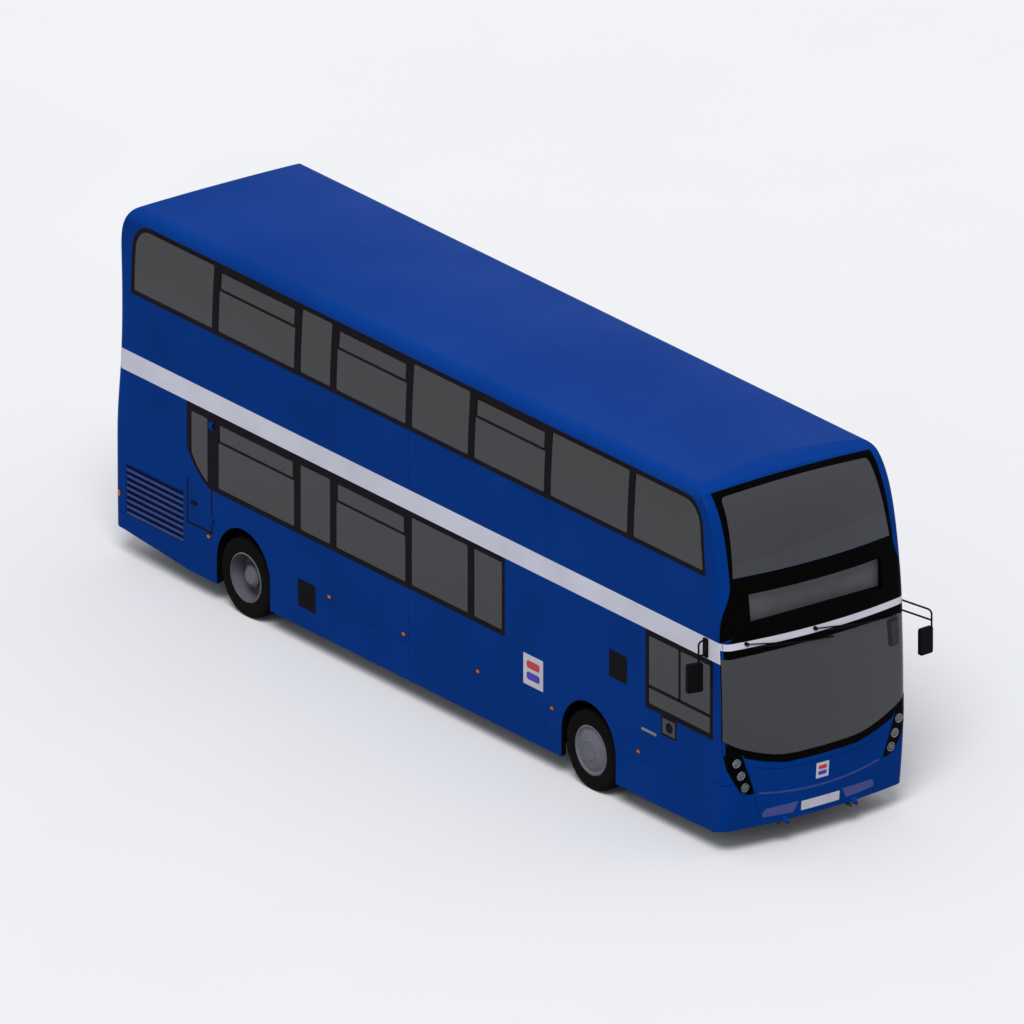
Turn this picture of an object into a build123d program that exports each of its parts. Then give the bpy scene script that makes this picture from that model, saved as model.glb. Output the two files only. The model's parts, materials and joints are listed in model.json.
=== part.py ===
from build123d import *
from math import atan2, cos, pi, sin, sqrt, tan
import os

# Double-decker bus, in millimetres.
# +X is forward, +Y is the nearside (left, the entrance side), +Z is up.
# The origin is on the ground, on the centreline, halfway along the overall length.

os.makedirs("parts", exist_ok=True)

# ------------------------------------------------------------ driving dimensions
WIDTH = 2550
HEIGHT = 4340
WHEELBASE = 6500
FRONT_OVERHANG = 2680      # front axle to nose
REAR_OVERHANG = 2520       # rear axle to tail
MIRROR_AHEAD = 120         # the nearside mirror's reach ahead of the nose
WALL = 60                  # side, front, rear and roof panels
SEAT_GAP = 0.3             # between a piece and what it is seated in
SHUT_GAP = 6               # round a door or a lid
PIN_GAP = 0.3              # pin to bore
HINGE_GAP = 1              # beside a hinge barrel

TYRE_R = 478
TYRE_W = 275
RIM_R = 295
TWIN_GAP = 30              # between the two tyres of a twin wheel
WHEEL_INSET = 25           # a tyre's outer side from the body side
ARCH_R = 508
ARCH_Z = 562

SKIRT_Z = 245              # lower edge of the side panels
FRONT_SKIRT_Z = 305
REAR_SKIRT_Z = 360
LOW_SILL_Z = 1420          # lower side glass
LOW_HEAD_Z = 2240
LOW_HOPPER_HEAD_Z = 2210   # glass with an opening top pane is a little shorter
DECK_Z = 2560              # top of the stripe, where lower and upper panels meet
UP_SILL_Z = HEIGHT - 1003  # upper side glass
UP_HEAD_Z = HEIGHT - 250
UP_HOPPER_HEAD_Z = HEIGHT - 285
CANT_Z = HEIGHT - 190      # roof panel's lower edge
LEAN_Z = HEIGHT - 1240     # above this the sides curve inwards
LEAN_R = 12300
CANT_R = 150
CANT_CENTRE_Z = HEIGHT - 200

LOW_FLOOR_Z = 350
FLOOR_T = 60
HUMP_FLOOR_Z = 400         # floor top over the front axle beam
REAR_FLOOR_Z = 840
UP_FLOOR_Z = 2400
UP_FLOOR_T = 70

GLASS_T = 6
GLASS_INSET = 3            # glass face behind the panel's face
PILLAR = 116               # blank between two neighbouring side panes
CORNER_R = 25              # corners of the side glass

DOORWAY_W = 1220
DOORWAY_TOP_Z = 2310
LEAF_T = 36
LEAF_CLEAR = 12            # leaf to jamb, head and sill
STEER_LIMIT_ARM = 200      # kingpin to tie rod eye

# ------------------------------------------------------------ stations along the bus
length = WHEELBASE + FRONT_OVERHANG + REAR_OVERHANG + MIRROR_AHEAD
nose = length / 2 - MIRROR_AHEAD
tail = -length / 2
front_axle = nose - FRONT_OVERHANG
rear_axle = front_axle - WHEELBASE
half = WIDTH / 2
RAIL_Y = half - 875                # centre lines of the two chassis rails
REAR_TOW_Z = 470                   # towing sockets in the ends of the rails
FRONT_TOW_Z = 250
front_seam = front_axle + 2314     # side panels meet the front mouldings
rear_seam = tail + 240             # side panels meet the rear mouldings
doorway_front = front_axle + 2240
doorway_rear = doorway_front - DOORWAY_W
bulkhead_x = rear_axle - 1450      # front of the engine bay
step_x = rear_axle + 1250          # where the floor steps up to the rear
axle_z = TYRE_R

# Pillar centre lines: one ahead of the front axle, shares of the wheelbase, one behind the rear axle.
BAY_SHARES = (0.120, 0.339, 0.5195, 0.738, 0.8425)
BAYS = [front_axle + 767] + [front_axle - s * WHEELBASE for s in BAY_SHARES] + [rear_axle - 532]

all_nodes = []


def save(name, *shapes):
    """Write one node; each shape in it is a solid that touches none of the others."""
    solids = []
    for shape in shapes:
        solids += shape.solids()
    all_nodes.append(name)
    export_step(Compound(children=solids) if len(solids) > 1 else solids[0], f"parts/{name}.step")


# ------------------------------------------------------------ shapes used again and again
def block(x0, x1, y0, y1, z0, z1):
    return Pos((x0 + x1) / 2, (y0 + y1) / 2, (z0 + z1) / 2) * Box(abs(x1 - x0), abs(y1 - y0), abs(z1 - z0))


def across(face, y0, y1):
    """Extrude an outline drawn in X and Z from y0 to y1."""
    return extrude(Plane.XZ.offset(-y1) * face, amount=y1 - y0)


def along(face, x0, x1):
    """Extrude an outline drawn in Y and Z from x0 to x1."""
    return extrude(Plane.YZ.offset(x0) * face, amount=x1 - x0)


def polygon(*points):
    return make_face(Polyline(*points, close=True))


def rounded(points, radii):
    return make_face(FilletPolyline(*points, radius=radii, close=True))


def rod_y(x, z, radius, y0, y1):
    return Pos(x, (y0 + y1) / 2, z) * Rot(90, 0, 0) * Cylinder(radius, abs(y1 - y0))


def rod_x(y, z, radius, x0, x1):
    return Pos((x0 + x1) / 2, y, z) * Rot(0, 90, 0) * Cylinder(radius, abs(x1 - x0))


def rod_z(x, y, radius, z0, z1):
    return Pos(x, y, (z0 + z1) / 2) * Cylinder(radius, abs(z1 - z0))


def bent_tube(points, bend, radius):
    """A tube along straight runs, joined by arcs where there is a bend radius."""
    path = FilletPolyline(*points, radius=bend) if bend else Polyline(*points)
    start = path.edges()[0]
    section = Plane(origin=start @ 0, z_dir=start % 0) * Circle(radius)
    return sweep(section, path)


def both(shape):
    """The shape and its mirror image on the other side of the bus."""
    return [shape, mirror(shape, about=Plane.XZ)]


HINGE_PIN_R = 5
HINGE_BARREL_R = 10
HINGE_BARREL_L = 70
HINGE_LUG_T = 12


def hinge(x, y, z, direction):
    """A pin hinge on an axis along Y or Z: the barrel for the moving side, and the pin with
    its two lug rounds for the fixed side."""
    turn = Rot(90, 0, 0) if direction == "Y" else Rot(0, 0, 0)
    reach = HINGE_BARREL_L / 2
    barrel = Cylinder(HINGE_BARREL_R, HINGE_BARREL_L) - Cylinder(HINGE_PIN_R + PIN_GAP, HINGE_BARREL_L + 2)
    pin = Cylinder(HINGE_PIN_R, HINGE_BARREL_L + 2 * HINGE_LUG_T)
    for s in (1, -1):
        pin += Pos(0, 0, s * (reach + HINGE_GAP + HINGE_LUG_T / 2)) * Cylinder(HINGE_BARREL_R, HINGE_LUG_T)
    return Pos(x, y, z) * turn * barrel, Pos(x, y, z) * turn * pin


# ------------------------------------------------------------ body envelope
def toward(centre, radius, point):
    away = (Vector(*point) - Vector(*centre)).normalized()
    return (centre[0] + away.X * radius, centre[1] + away.Y * radius)


def cross_section(inset):
    """Body section: upright sides, a gentle lean above LEAN_Z, round cantrails and a crowned roof."""
    side = half - inset
    lean_centre = (half - LEAN_R, LEAN_Z)
    cant_y = lean_centre[0] + sqrt((LEAN_R - CANT_R) ** 2 - (CANT_CENTRE_Z - LEAN_Z) ** 2)
    cant = (cant_y, CANT_CENTRE_Z)
    rise = HEIGHT - CANT_CENTRE_Z
    crown_r = (cant_y**2 / (rise - CANT_R) + CANT_R + rise) / 2
    crown = (0, HEIGHT - crown_r)
    a = (side, LEAN_Z)
    c = toward(lean_centre, LEAN_R - inset, cant)
    mid_z = (LEAN_Z + c[1]) / 2
    b = (lean_centre[0] + sqrt((LEAN_R - inset) ** 2 - (mid_z - LEAN_Z) ** 2), mid_z)
    e = toward(crown, crown_r - inset, cant)
    d = toward(cant, CANT_R - inset, ((c[0] + e[0]) / 2, (c[1] + e[1]) / 2))
    floor_z = 100
    flip = [(-p[0], p[1]) for p in (a, b, c, d, e)]
    edges = [
        Line((side, floor_z), a),
        ThreePointArc(a, b, c),
        ThreePointArc(c, d, e),
        ThreePointArc(e, (0, HEIGHT - inset), flip[4]),
        ThreePointArc(flip[4], flip[3], flip[2]),
        ThreePointArc(flip[2], flip[1], flip[0]),
        Line(flip[0], (-side, floor_z)),
        Line((-side, floor_z), (side, floor_z)),
    ]
    return make_face(Curve() + edges)


NOSE_BOW_R = 6250
NOSE_CORNER_R = 130
TAIL_BOW_R = 24000
TAIL_CORNER_R = 140


END_FLARE = 4 * pi / 180    # how far past the body side's own direction the plan outline runs


def arc(centre, radius, start, stop):
    """A cubic curve along a short arc; angles in radians."""
    around = lambda angle: Vector(centre[0] + radius * cos(angle), centre[1] + radius * sin(angle))
    pull = 4 / 3 * tan((stop - start) / 4) * radius
    ahead = lambda angle: Vector(-sin(angle), cos(angle)) * pull
    return Bezier(around(start), around(start) + ahead(start), around(stop) - ahead(stop), around(stop))


def plan(inset, bow_r, corner_r, depth):
    """Plan outline of one end of the body: a bowed face and two round corners, with straight
    runs that leave the body side at a slant, so that the side is cut cleanly."""
    side = half - inset
    bow, corner = bow_r - inset, corner_r - inset
    corner_y = side - corner * cos(END_FLARE)
    corner_x = -bow_r + sqrt((bow - corner) ** 2 - corner_y**2)
    start = atan2(corner_y, corner_x + bow_r)
    stop = pi / 2 - END_FLARE / 2
    s = (corner_x + corner * cos(stop), corner_y + corner * sin(stop))
    e = (-depth, s[1] + (s[0] + depth) * tan(END_FLARE / 2))
    edges = [
        arc((-bow_r, 0), bow, -start, start),
        arc((corner_x, corner_y), corner, start, stop),
        Line(s, e),
        Line(e, (e[0], -e[1])),
        Line((e[0], -e[1]), (s[0], -s[1])),
        arc((corner_x, -corner_y), corner, -stop, -start),
    ]
    return make_face(Curve() + edges)


# Centreline of the nose: (distance behind the nose, height), from the ground to the roof.
NOSE_LINE = [
    (95, 100),
    (24, 750),
    (2, 1150),
    (0, 1400),
    (10, 1900),
    (42, DECK_Z - 60),
    (166, HEIGHT - 910),
    (298, HEIGHT - 465),
    (415, HEIGHT - 257),
    (530, HEIGHT - 138),
    (880, HEIGHT - 4),
    (1000, HEIGHT + 12),
]
# Centreline of the tail: (distance ahead of the tail, height).
TAIL_LINE = [
    (12, 100),
    (2, 800),
    (0, 1250),
    (10, 1750),
    (58, 2230),
    (90, HEIGHT - 650),
    (140, HEIGHT - 250),
    (300, HEIGHT - 75),
    (600, HEIGHT + 10),
]
END_REACH = 3200
END_SECTIONS = 25


def end_loft(line, inset, bow_r, corner_r, where):
    """Join plan outlines spaced evenly up the centreline of one end."""
    path = Spline(*[(-d, 0, z) for d, z in line])
    stations = [path @ (n / (END_SECTIONS - 1)) for n in range(END_SECTIONS)]
    return where * loft([Pos(p.X, 0, p.Z) * plan(inset, bow_r, corner_r, END_REACH + p.X) for p in stations])


def envelope(inset):
    """The body's outside, drawn in by the inset, as three lengths that meet on pillar lines."""
    section = cross_section(inset)
    nose_end = BAYS[0]
    tail_end = BAYS[6]
    front = along(section, nose_end, nose + 50) & end_loft(
        NOSE_LINE, inset, NOSE_BOW_R, NOSE_CORNER_R, Pos(nose, 0, 0)
    )
    rear = along(section, tail - 50, tail_end) & end_loft(
        TAIL_LINE, inset, TAIL_BOW_R, TAIL_CORNER_R, Pos(tail, 0, 0) * Rot(0, 0, 180)
    )
    return front, along(section, tail_end, nose_end), rear


HATCH_T = 40
outer = envelope(0)
inner = envelope(WALL)
lid_back = envelope(HATCH_T)
glass_out = envelope(GLASS_INSET)
glass_in = envelope(GLASS_INSET + GLASS_T)
room = envelope(WALL + SEAT_GAP)                    # what the floors may fill


def between(tool, outside, inside=None):
    """The part of the tool within one set of body lengths and beyond another."""
    reach = tool.bounding_box()
    pieces = []
    for n, body_length in enumerate(outside):
        box = body_length.bounding_box()
        if box.min.X < reach.max.X and reach.min.X < box.max.X:
            piece = body_length & tool
            pieces.append(piece - inside[n] if inside else piece)
    result = pieces[0]
    for piece in pieces[1:]:
        result = result + piece
    return result


# ------------------------------------------------------------ regions of the shell
MARGIN = 100
seam_top = front_axle + 2300
seam_cant = front_axle + 2020
rear_seam_top = tail + 350

low_region = polygon(
    (rear_seam, 352),
    (rear_axle - 1400, 280),
    (rear_axle - 1000, SKIRT_Z),
    (front_axle + 1500, SKIRT_Z),
    (front_seam, SKIRT_Z + 13),
    (front_seam, DECK_Z),
    (rear_seam, DECK_Z),
)
up_region = polygon(
    (rear_seam, DECK_Z),
    (seam_top, DECK_Z),
    (seam_cant, CANT_Z),
    (rear_seam_top, CANT_Z),
    (rear_seam, UP_HEAD_Z - 200),
)
front_low_region = polygon(
    (front_seam, SKIRT_Z + 13),
    (front_axle + 2450, FRONT_SKIRT_Z - 15),
    (nose + MARGIN, FRONT_SKIRT_Z),
    (nose + MARGIN, DECK_Z),
    (front_seam, DECK_Z),
)
front_up_region = polygon(
    (seam_top, DECK_Z),
    (nose + MARGIN, DECK_Z),
    (nose + MARGIN, HEIGHT + MARGIN),
    (seam_cant + 45, HEIGHT + MARGIN),
    (seam_cant, CANT_Z),
)
roof_region = polygon(
    (tail - MARGIN, CANT_Z), (seam_cant, CANT_Z), (seam_cant + 45, HEIGHT + MARGIN), (tail - MARGIN, HEIGHT + MARGIN)
)
rear_low_region = polygon(
    (tail - MARGIN, REAR_SKIRT_Z), (rear_seam, 352), (rear_seam, DECK_Z), (tail - MARGIN, DECK_Z)
)
rear_up_region = polygon(
    (tail - MARGIN, DECK_Z),
    (rear_seam, DECK_Z),
    (rear_seam, UP_HEAD_Z - 200),
    (rear_seam_top, CANT_Z),
    (tail - MARGIN, CANT_Z),
)
FAR = half + MARGIN


# ------------------------------------------------------------ side openings
def pane(rear, front, sill, head, top_rear=CORNER_R, top_front=CORNER_R, lean=0):
    """Outline of one side pane; lean moves its top front corner back."""
    corners = [(rear, sill), (front, sill), (front - lean, head), (rear, head)]
    return corners, [CORNER_R, CORNER_R, top_front, top_rear]


def bay_pane(i, sill, head):
    """The pane between pillar lines i (ahead) and i + 1 (behind)."""
    return pane(BAYS[i + 1] + PILLAR / 2, BAYS[i] - PILLAR / 2, sill, head)


cab_pane = pane(front_axle + 1116, front_axle + 2257, LOW_SILL_Z, LOW_HEAD_Z)
NARROW_W = 524
shared_low_panes = [
    bay_pane(5, LOW_SILL_Z, LOW_HOPPER_HEAD_Z),
    bay_pane(4, LOW_SILL_Z, LOW_HOPPER_HEAD_Z),
    bay_pane(3, LOW_SILL_Z, LOW_HOPPER_HEAD_Z),
    bay_pane(2, LOW_SILL_Z, LOW_HEAD_Z),
]
offside_low_panes = shared_low_panes + [
    pane(BAYS[2] + PILLAR / 2, BAYS[2] + PILLAR / 2 + NARROW_W, LOW_SILL_Z, LOW_HEAD_Z),
    cab_pane,
]
nearside_low_panes = shared_low_panes + [
    bay_pane(1, LOW_SILL_Z, LOW_HOPPER_HEAD_Z),
    bay_pane(0, LOW_SILL_Z, LOW_HEAD_Z),
    pane(rear_axle - 991, rear_axle - 678, LOW_SILL_Z, LOW_HOPPER_HEAD_Z),
]
upper_panes = [
    pane(tail + 443, BAYS[6] - PILLAR / 2, UP_SILL_Z, UP_HEAD_Z, top_rear=250),
    bay_pane(5, UP_SILL_Z, UP_HOPPER_HEAD_Z),
    bay_pane(4, UP_SILL_Z, UP_HEAD_Z),
    bay_pane(3, UP_SILL_Z, UP_HOPPER_HEAD_Z),
    bay_pane(2, UP_SILL_Z, UP_HEAD_Z),
    bay_pane(1, UP_SILL_Z, UP_HOPPER_HEAD_Z),
    bay_pane(0, UP_SILL_Z, UP_HEAD_Z),
    pane(BAYS[0] + PILLAR / 2, front_axle + 2120, UP_SILL_Z, UP_HEAD_Z, top_front=300, lean=110),
]


def opening(pane_shape, y0, y1):
    corners, radii = pane_shape
    return across(rounded(corners, radii), y0, y1)


def glazing(pane_shape, y0, y1):
    """One pane of side glass, a seat gap smaller than its opening all round."""
    corners, radii = pane_shape
    outline = offset(rounded(corners, radii), -SEAT_GAP)
    return between(across(outline, y0, y1), glass_out, glass_in)


def wheel_arch(axle_x, y0, y1):
    upper = Pos(axle_x, ARCH_Z) * Circle(ARCH_R)
    lower = Pos(axle_x, (ARCH_Z + 100) / 2) * Rectangle(2 * ARCH_R, ARCH_Z - 100)
    return across(upper + lower, y0, y1)


# ------------------------------------------------------------ side walls
e_door_rear = rear_axle - 1075
e_door_front = rear_axle - 590
E_DOOR_SILL_Z = 824
E_DOOR_TOP_Z = 2310
grille_rear = tail + 278
grille_front = rear_axle - 1137
GRILLE_SILL_Z = 546
GRILLE_HEAD_Z = 1174


def door_panel_x(inset):
    return e_door_rear + inset, e_door_front - inset


low_offside = across(low_region, -FAR, 0)
low_nearside = across(low_region, 0, FAR)
for axle_x in (front_axle, rear_axle):
    low_offside -= wheel_arch(axle_x, -FAR, 0)
    low_nearside -= wheel_arch(axle_x, 0, FAR)
for p in offside_low_panes:
    low_offside -= opening(p, -FAR, 0)
for p in nearside_low_panes:
    low_nearside -= opening(p, 0, FAR)
low_offside -= block(e_door_rear, e_door_front, -FAR, 0, E_DOOR_SILL_Z, E_DOOR_TOP_Z)
low_offside -= block(grille_rear, grille_front, -FAR, 0, GRILLE_SILL_Z, GRILLE_HEAD_Z)
low_nearside -= block(doorway_rear, doorway_front, 0, FAR, 0, DOORWAY_TOP_Z)
low_offside_panel = between(low_offside, outer, inner)
save("lower_nearside_panel", between(low_nearside, outer, inner))

up_side = across(up_region, 0, FAR)
for p in upper_panes:
    up_side -= opening(p, 0, FAR)
up_side = between(up_side, outer, inner)
save("upper_nearside_panel", up_side)
save("upper_offside_panel", mirror(up_side, about=Plane.XZ))

save("roof", between(across(roof_region, -FAR, FAR), outer, inner))

upper_glass = []
for p in upper_panes:
    upper_glass += both(glazing(p, 0, FAR))
save("upper_side_glass", *upper_glass)
lower_glass = [glazing(p, -FAR, 0) for p in offside_low_panes]
for p in nearside_low_panes:
    lower_glass.append(mirror(glazing(p, -FAR, 0), about=Plane.XZ))
save("lower_side_glass", *lower_glass)

# ------------------------------------------------------------ front
UP_SCREEN_SILL_Z = UP_SILL_Z - 37
SCREEN_TOP_Z = HEIGHT - 185
DISPLAY_Z0 = 2735
DISPLAY_Z1 = 3095
DISPLAY_HALF = half - 345
SCREEN_FOOT_Y = half - 175
SCREEN_HEAD_Y = half - 245
DISPLAY_DEPTH = 160
RECESS_WALL = 20

up_screen_face = make_face(
    Curve()
    + [
        Line((-SCREEN_FOOT_Y, UP_SCREEN_SILL_Z), (SCREEN_FOOT_Y, UP_SCREEN_SILL_Z)),
        Line((SCREEN_FOOT_Y, UP_SCREEN_SILL_Z), (SCREEN_HEAD_Y, SCREEN_TOP_Z)),
        ThreePointArc((SCREEN_HEAD_Y, SCREEN_TOP_Z), (0, SCREEN_TOP_Z + 45), (-SCREEN_HEAD_Y, SCREEN_TOP_Z)),
        Line((-SCREEN_HEAD_Y, SCREEN_TOP_Z), (-SCREEN_FOOT_Y, UP_SCREEN_SILL_Z)),
    ]
)
up_screen_face = fillet(up_screen_face.vertices().filter_by(lambda v: v.Y > UP_SCREEN_SILL_Z + 10), 60)

# The lower screen wraps round both corners, so its outline runs wide and is stopped by a leaning plane.
LOW_SCREEN_TOP_Z = 2400
SCREEN_EDGE = [(0, 1108), (half - 705, 1131), (half - 215, 1284), (half + 125, 1480)]


def low_screen_outline(inset):
    right = [(y, z + inset) for y, z in SCREEN_EDGE]
    edge = [(-y, z) for y, z in right[:0:-1]] + right
    top = LOW_SCREEN_TOP_Z - inset
    corner = (edge[-1][0], top - 30)
    edges = [
        Spline(*edge),
        Line(edge[-1], corner),
        ThreePointArc(corner, (0, top), (-corner[0], corner[1])),
        Line((-corner[0], corner[1]), edge[0]),
    ]
    return make_face(Curve() + edges)


def low_screen_side(inset):
    return polygon(
        (front_axle + 2474 + inset, 1100),
        (nose + MARGIN, 1000),
        (nose + MARGIN, DECK_Z),
        (front_axle + 2434 + inset, LOW_SCREEN_TOP_Z + 20),
    )


screen_x0 = front_axle + 1900
up_screen_opening = along(up_screen_face, screen_x0, nose + MARGIN)
low_screen_opening = along(low_screen_outline(0), screen_x0, nose + MARGIN) & across(low_screen_side(0), -FAR, FAR)
up_screen_glass = between(
    along(offset(up_screen_face, -SEAT_GAP), screen_x0, nose + MARGIN), glass_out, glass_in
)
low_screen_glass = between(
    along(low_screen_outline(SEAT_GAP), screen_x0, nose + MARGIN) & across(low_screen_side(SEAT_GAP), -FAR, FAR),
    glass_out,
    glass_in,
)

display_x = nose - 65 - DISPLAY_DEPTH              # the display's face
display_hole = block(screen_x0, nose + MARGIN, -DISPLAY_HALF, DISPLAY_HALF, DISPLAY_Z0, DISPLAY_Z1)
recess = block(
    display_x - 60,
    nose + MARGIN,
    -DISPLAY_HALF - RECESS_WALL,
    DISPLAY_HALF + RECESS_WALL,
    DISPLAY_Z0 - RECESS_WALL,
    DISPLAY_Z1 + RECESS_WALL,
)
front_upper = across(front_up_region, -FAR, FAR) - display_hole - up_screen_opening
save("front_upper_panel", (outer[0] & front_upper) - (inner[0] - recess))
save(
    "destination_display",
    block(
        display_x - 60,
        display_x,
        -DISPLAY_HALF + SEAT_GAP,
        DISPLAY_HALF - SEAT_GAP,
        DISPLAY_Z0 + SEAT_GAP,
        DISPLAY_Z1 - SEAT_GAP,
    ),
)

# Front hatch: a wide flap under the windscreen, hinged along its foot.
HATCH_TOP_Z = 950
HATCH_CORNER = (half - 265, 1096)
HATCH_FOOT = half - 515
hatch_bend = (half - 705, HATCH_TOP_Z + 10)
hatch_line = [
    (-HATCH_CORNER[0], HATCH_CORNER[1]), (-hatch_bend[0], hatch_bend[1]), (0, HATCH_TOP_Z), hatch_bend, HATCH_CORNER,
]


def hatch_outline(inset):
    top = [(y, z - inset) for y, z in hatch_line]
    top[0] = (top[0][0] + inset, top[0][1])
    top[-1] = (top[-1][0] - inset, top[-1][1])
    foot = HATCH_FOOT - inset
    edges = [
        Spline(*top),
        Line(top[-1], (foot, 200)),
        Line((foot, 200), (-foot, 200)),
        Line((-foot, 200), top[0]),
    ]
    return make_face(Curve() + edges)


hatch = along(hatch_outline(SHUT_GAP), screen_x0, nose + MARGIN) & across(front_low_region, -FAR, FAR)
front_hatch = between(hatch, outer, lid_back)
hatch_hinge_x = nose - 60
HATCH_HINGE_Z = 284
HATCH_HINGE_Y = half - 795
hatch_pins = []
for y in (-HATCH_HINGE_Y, HATCH_HINGE_Y):
    barrel, pin = hinge(hatch_hinge_x, y, HATCH_HINGE_Z, "Y")
    reach = HINGE_BARREL_L / 2
    arm = polygon(
        (hatch_hinge_x, HATCH_HINGE_Z - 8),
        (hatch_hinge_x + 6, HATCH_HINGE_Z + 7),
        (hatch_hinge_x - 30, HATCH_HINGE_Z + 60),
        (hatch_hinge_x - 55, HATCH_HINGE_Z + 60),
        (hatch_hinge_x - 30, HATCH_HINGE_Z + 4),
    )
    arm = across(arm, y - reach, y + reach) - rod_y(hatch_hinge_x, HATCH_HINGE_Z, HINGE_PIN_R + 2, y - 99, y + 99)
    front_hatch = front_hatch + arm + barrel
    hatch_pins.append(pin)
save("front_hatch", front_hatch)

# Headlamps: three round lamps down each corner, set through the front panel.
LAMP_R = 57
LAMPS = [(half - 138, 1127), (half - 197, 965), (half - 251, 812)]
CORNER_START = half - NOSE_CORNER_R


def nose_x(y):
    """The front's surface at this distance from the centreline, about 1 m above the ground."""
    y = abs(y)
    x = nose - 3 - y**2 / (2 * NOSE_BOW_R)
    past = max(0, y - CORNER_START)
    return x - (NOSE_CORNER_R - sqrt(NOSE_CORNER_R**2 - past**2))


front_lower = across(front_low_region, -FAR, FAR)
front_lower = front_lower - low_screen_opening - along(hatch_outline(0), screen_x0, nose + MARGIN)
lamps = []
for y, z in LAMPS:
    face_x = nose_x(y + LAMP_R) - 4
    lamp = rod_x(y, z, LAMP_R, face_x - WALL - 30, face_x)
    hole = rod_x(y, z, LAMP_R + SEAT_GAP, screen_x0, nose + MARGIN)
    lamps += both(lamp)
    for shape in both(hole):
        front_lower -= shape
save("front_lower_panel", between(front_lower, outer, inner))
save("headlamps", *lamps)

# ------------------------------------------------------------ rear
REAR_PANE_FOOT_Y = half - 395
REAR_PANE_HEAD_Y = half - 435
REAR_PANE = [
    (-REAR_PANE_FOOT_Y, UP_SILL_Z), (REAR_PANE_FOOT_Y, UP_SILL_Z),
    (REAR_PANE_HEAD_Y, UP_HEAD_Z - 40), (-REAR_PANE_HEAD_Y, UP_HEAD_Z - 40),
]
rear_pane_face = rounded(REAR_PANE, [60, 60, 120, 120])
rear_upper = across(rear_up_region, -FAR, FAR) - along(rear_pane_face, tail - MARGIN, tail + 400)
save("rear_upper_panel", between(rear_upper, outer, inner))
rear_glass = between(along(offset(rear_pane_face, -SEAT_GAP), tail - MARGIN, tail + 400), glass_out, glass_in)
save("windscreens_and_rear_window", up_screen_glass, low_screen_glass, rear_glass)

COVER_HALF = half - 395
COVER_HINGE_Y = half - 675
COVER_SILL_Z = 560
COVER_HEAD_Z = 1640
LAMP_COLUMN_Y = half - 215
TOW_HOLE_R = 36            # in the rear panel, behind the rear towing socket
rear_lower = across(rear_low_region, -FAR, FAR)
rear_lower -= block(tail - MARGIN, rear_seam, -COVER_HALF, COVER_HALF, COVER_SILL_Z, COVER_HEAD_Z)
rear_lower -= rod_x(RAIL_Y, REAR_TOW_Z, TOW_HOLE_R, tail - MARGIN, rear_seam)
TAIL_LAMPS = [1560, 1420, 1280, 1140]
TAIL_LAMP_R = 58
tail_lamps = []
for z in TAIL_LAMPS:
    lamp = rod_x(0, z, TAIL_LAMP_R, tail + 14, tail + 50)
    hole = rod_x(0, z, TAIL_LAMP_R + SEAT_GAP, tail - MARGIN, tail + 50 + SEAT_GAP)
    for s in (1, -1):
        rear_lower -= Pos(0, s * LAMP_COLUMN_Y, 0) * hole
        tail_lamps.append(Pos(0, s * LAMP_COLUMN_Y, 0) * lamp)
save("tail_lamps", *tail_lamps)
cover = block(
    tail - MARGIN,
    rear_seam,
    -COVER_HALF + SHUT_GAP,
    COVER_HALF - SHUT_GAP,
    COVER_SILL_Z + SHUT_GAP,
    COVER_HEAD_Z - SHUT_GAP,
)
engine_cover = between(cover, outer, lid_back)
rear_lower = between(rear_lower, outer, inner)
cover_hinge_x = tail - 12
for y in (-COVER_HINGE_Y, COVER_HINGE_Y):
    barrel, pin = hinge(cover_hinge_x, y, COVER_HEAD_Z, "Y")
    reach = HINGE_BARREL_L / 2
    strap = block(cover_hinge_x - 8, tail + 25, y - reach, y + reach, COVER_HEAD_Z - 45, COVER_HEAD_Z - 5)
    strap -= rod_y(cover_hinge_x, COVER_HEAD_Z, HINGE_PIN_R + 2, y - 99, y + 99)
    engine_cover = engine_cover + strap + barrel
    rear_lower = rear_lower + pin
    for s in (1, -1):
        y0, y1 = sorted((y + s * (reach + HINGE_GAP), y + s * (reach + HINGE_GAP + HINGE_LUG_T)))
        rear_lower += block(cover_hinge_x - 8, tail + 25, y0, y1, COVER_HEAD_Z + 4, COVER_HEAD_Z + 45)
save("engine_cover", engine_cover)
save("rear_lower_panel", rear_lower)

# Radiator grille: a frame with level slats in the offside rear panel.
SLAT_PITCH = 75
SLAT_H = 30
grille_y0 = -half + 8
grille_y1 = -half + 40
grille = block(
    grille_rear + SEAT_GAP, grille_front - SEAT_GAP, grille_y0, grille_y1,
    GRILLE_SILL_Z + SEAT_GAP, GRILLE_HEAD_Z - SEAT_GAP,
)
slats = int((GRILLE_HEAD_Z - GRILLE_SILL_Z - SLAT_H) // SLAT_PITCH) + 1
for i in range(slats):
    z0 = GRILLE_SILL_Z + SLAT_H + i * SLAT_PITCH
    z1 = min(z0 + SLAT_PITCH - SLAT_H, GRILLE_HEAD_Z - 12)
    if z1 > z0 + 5:
        grille -= block(grille_rear + 25, grille_front - 25, grille_y0 - 1, grille_y1 - 8, z0, z1)
save("radiator_grille", grille)

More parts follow.
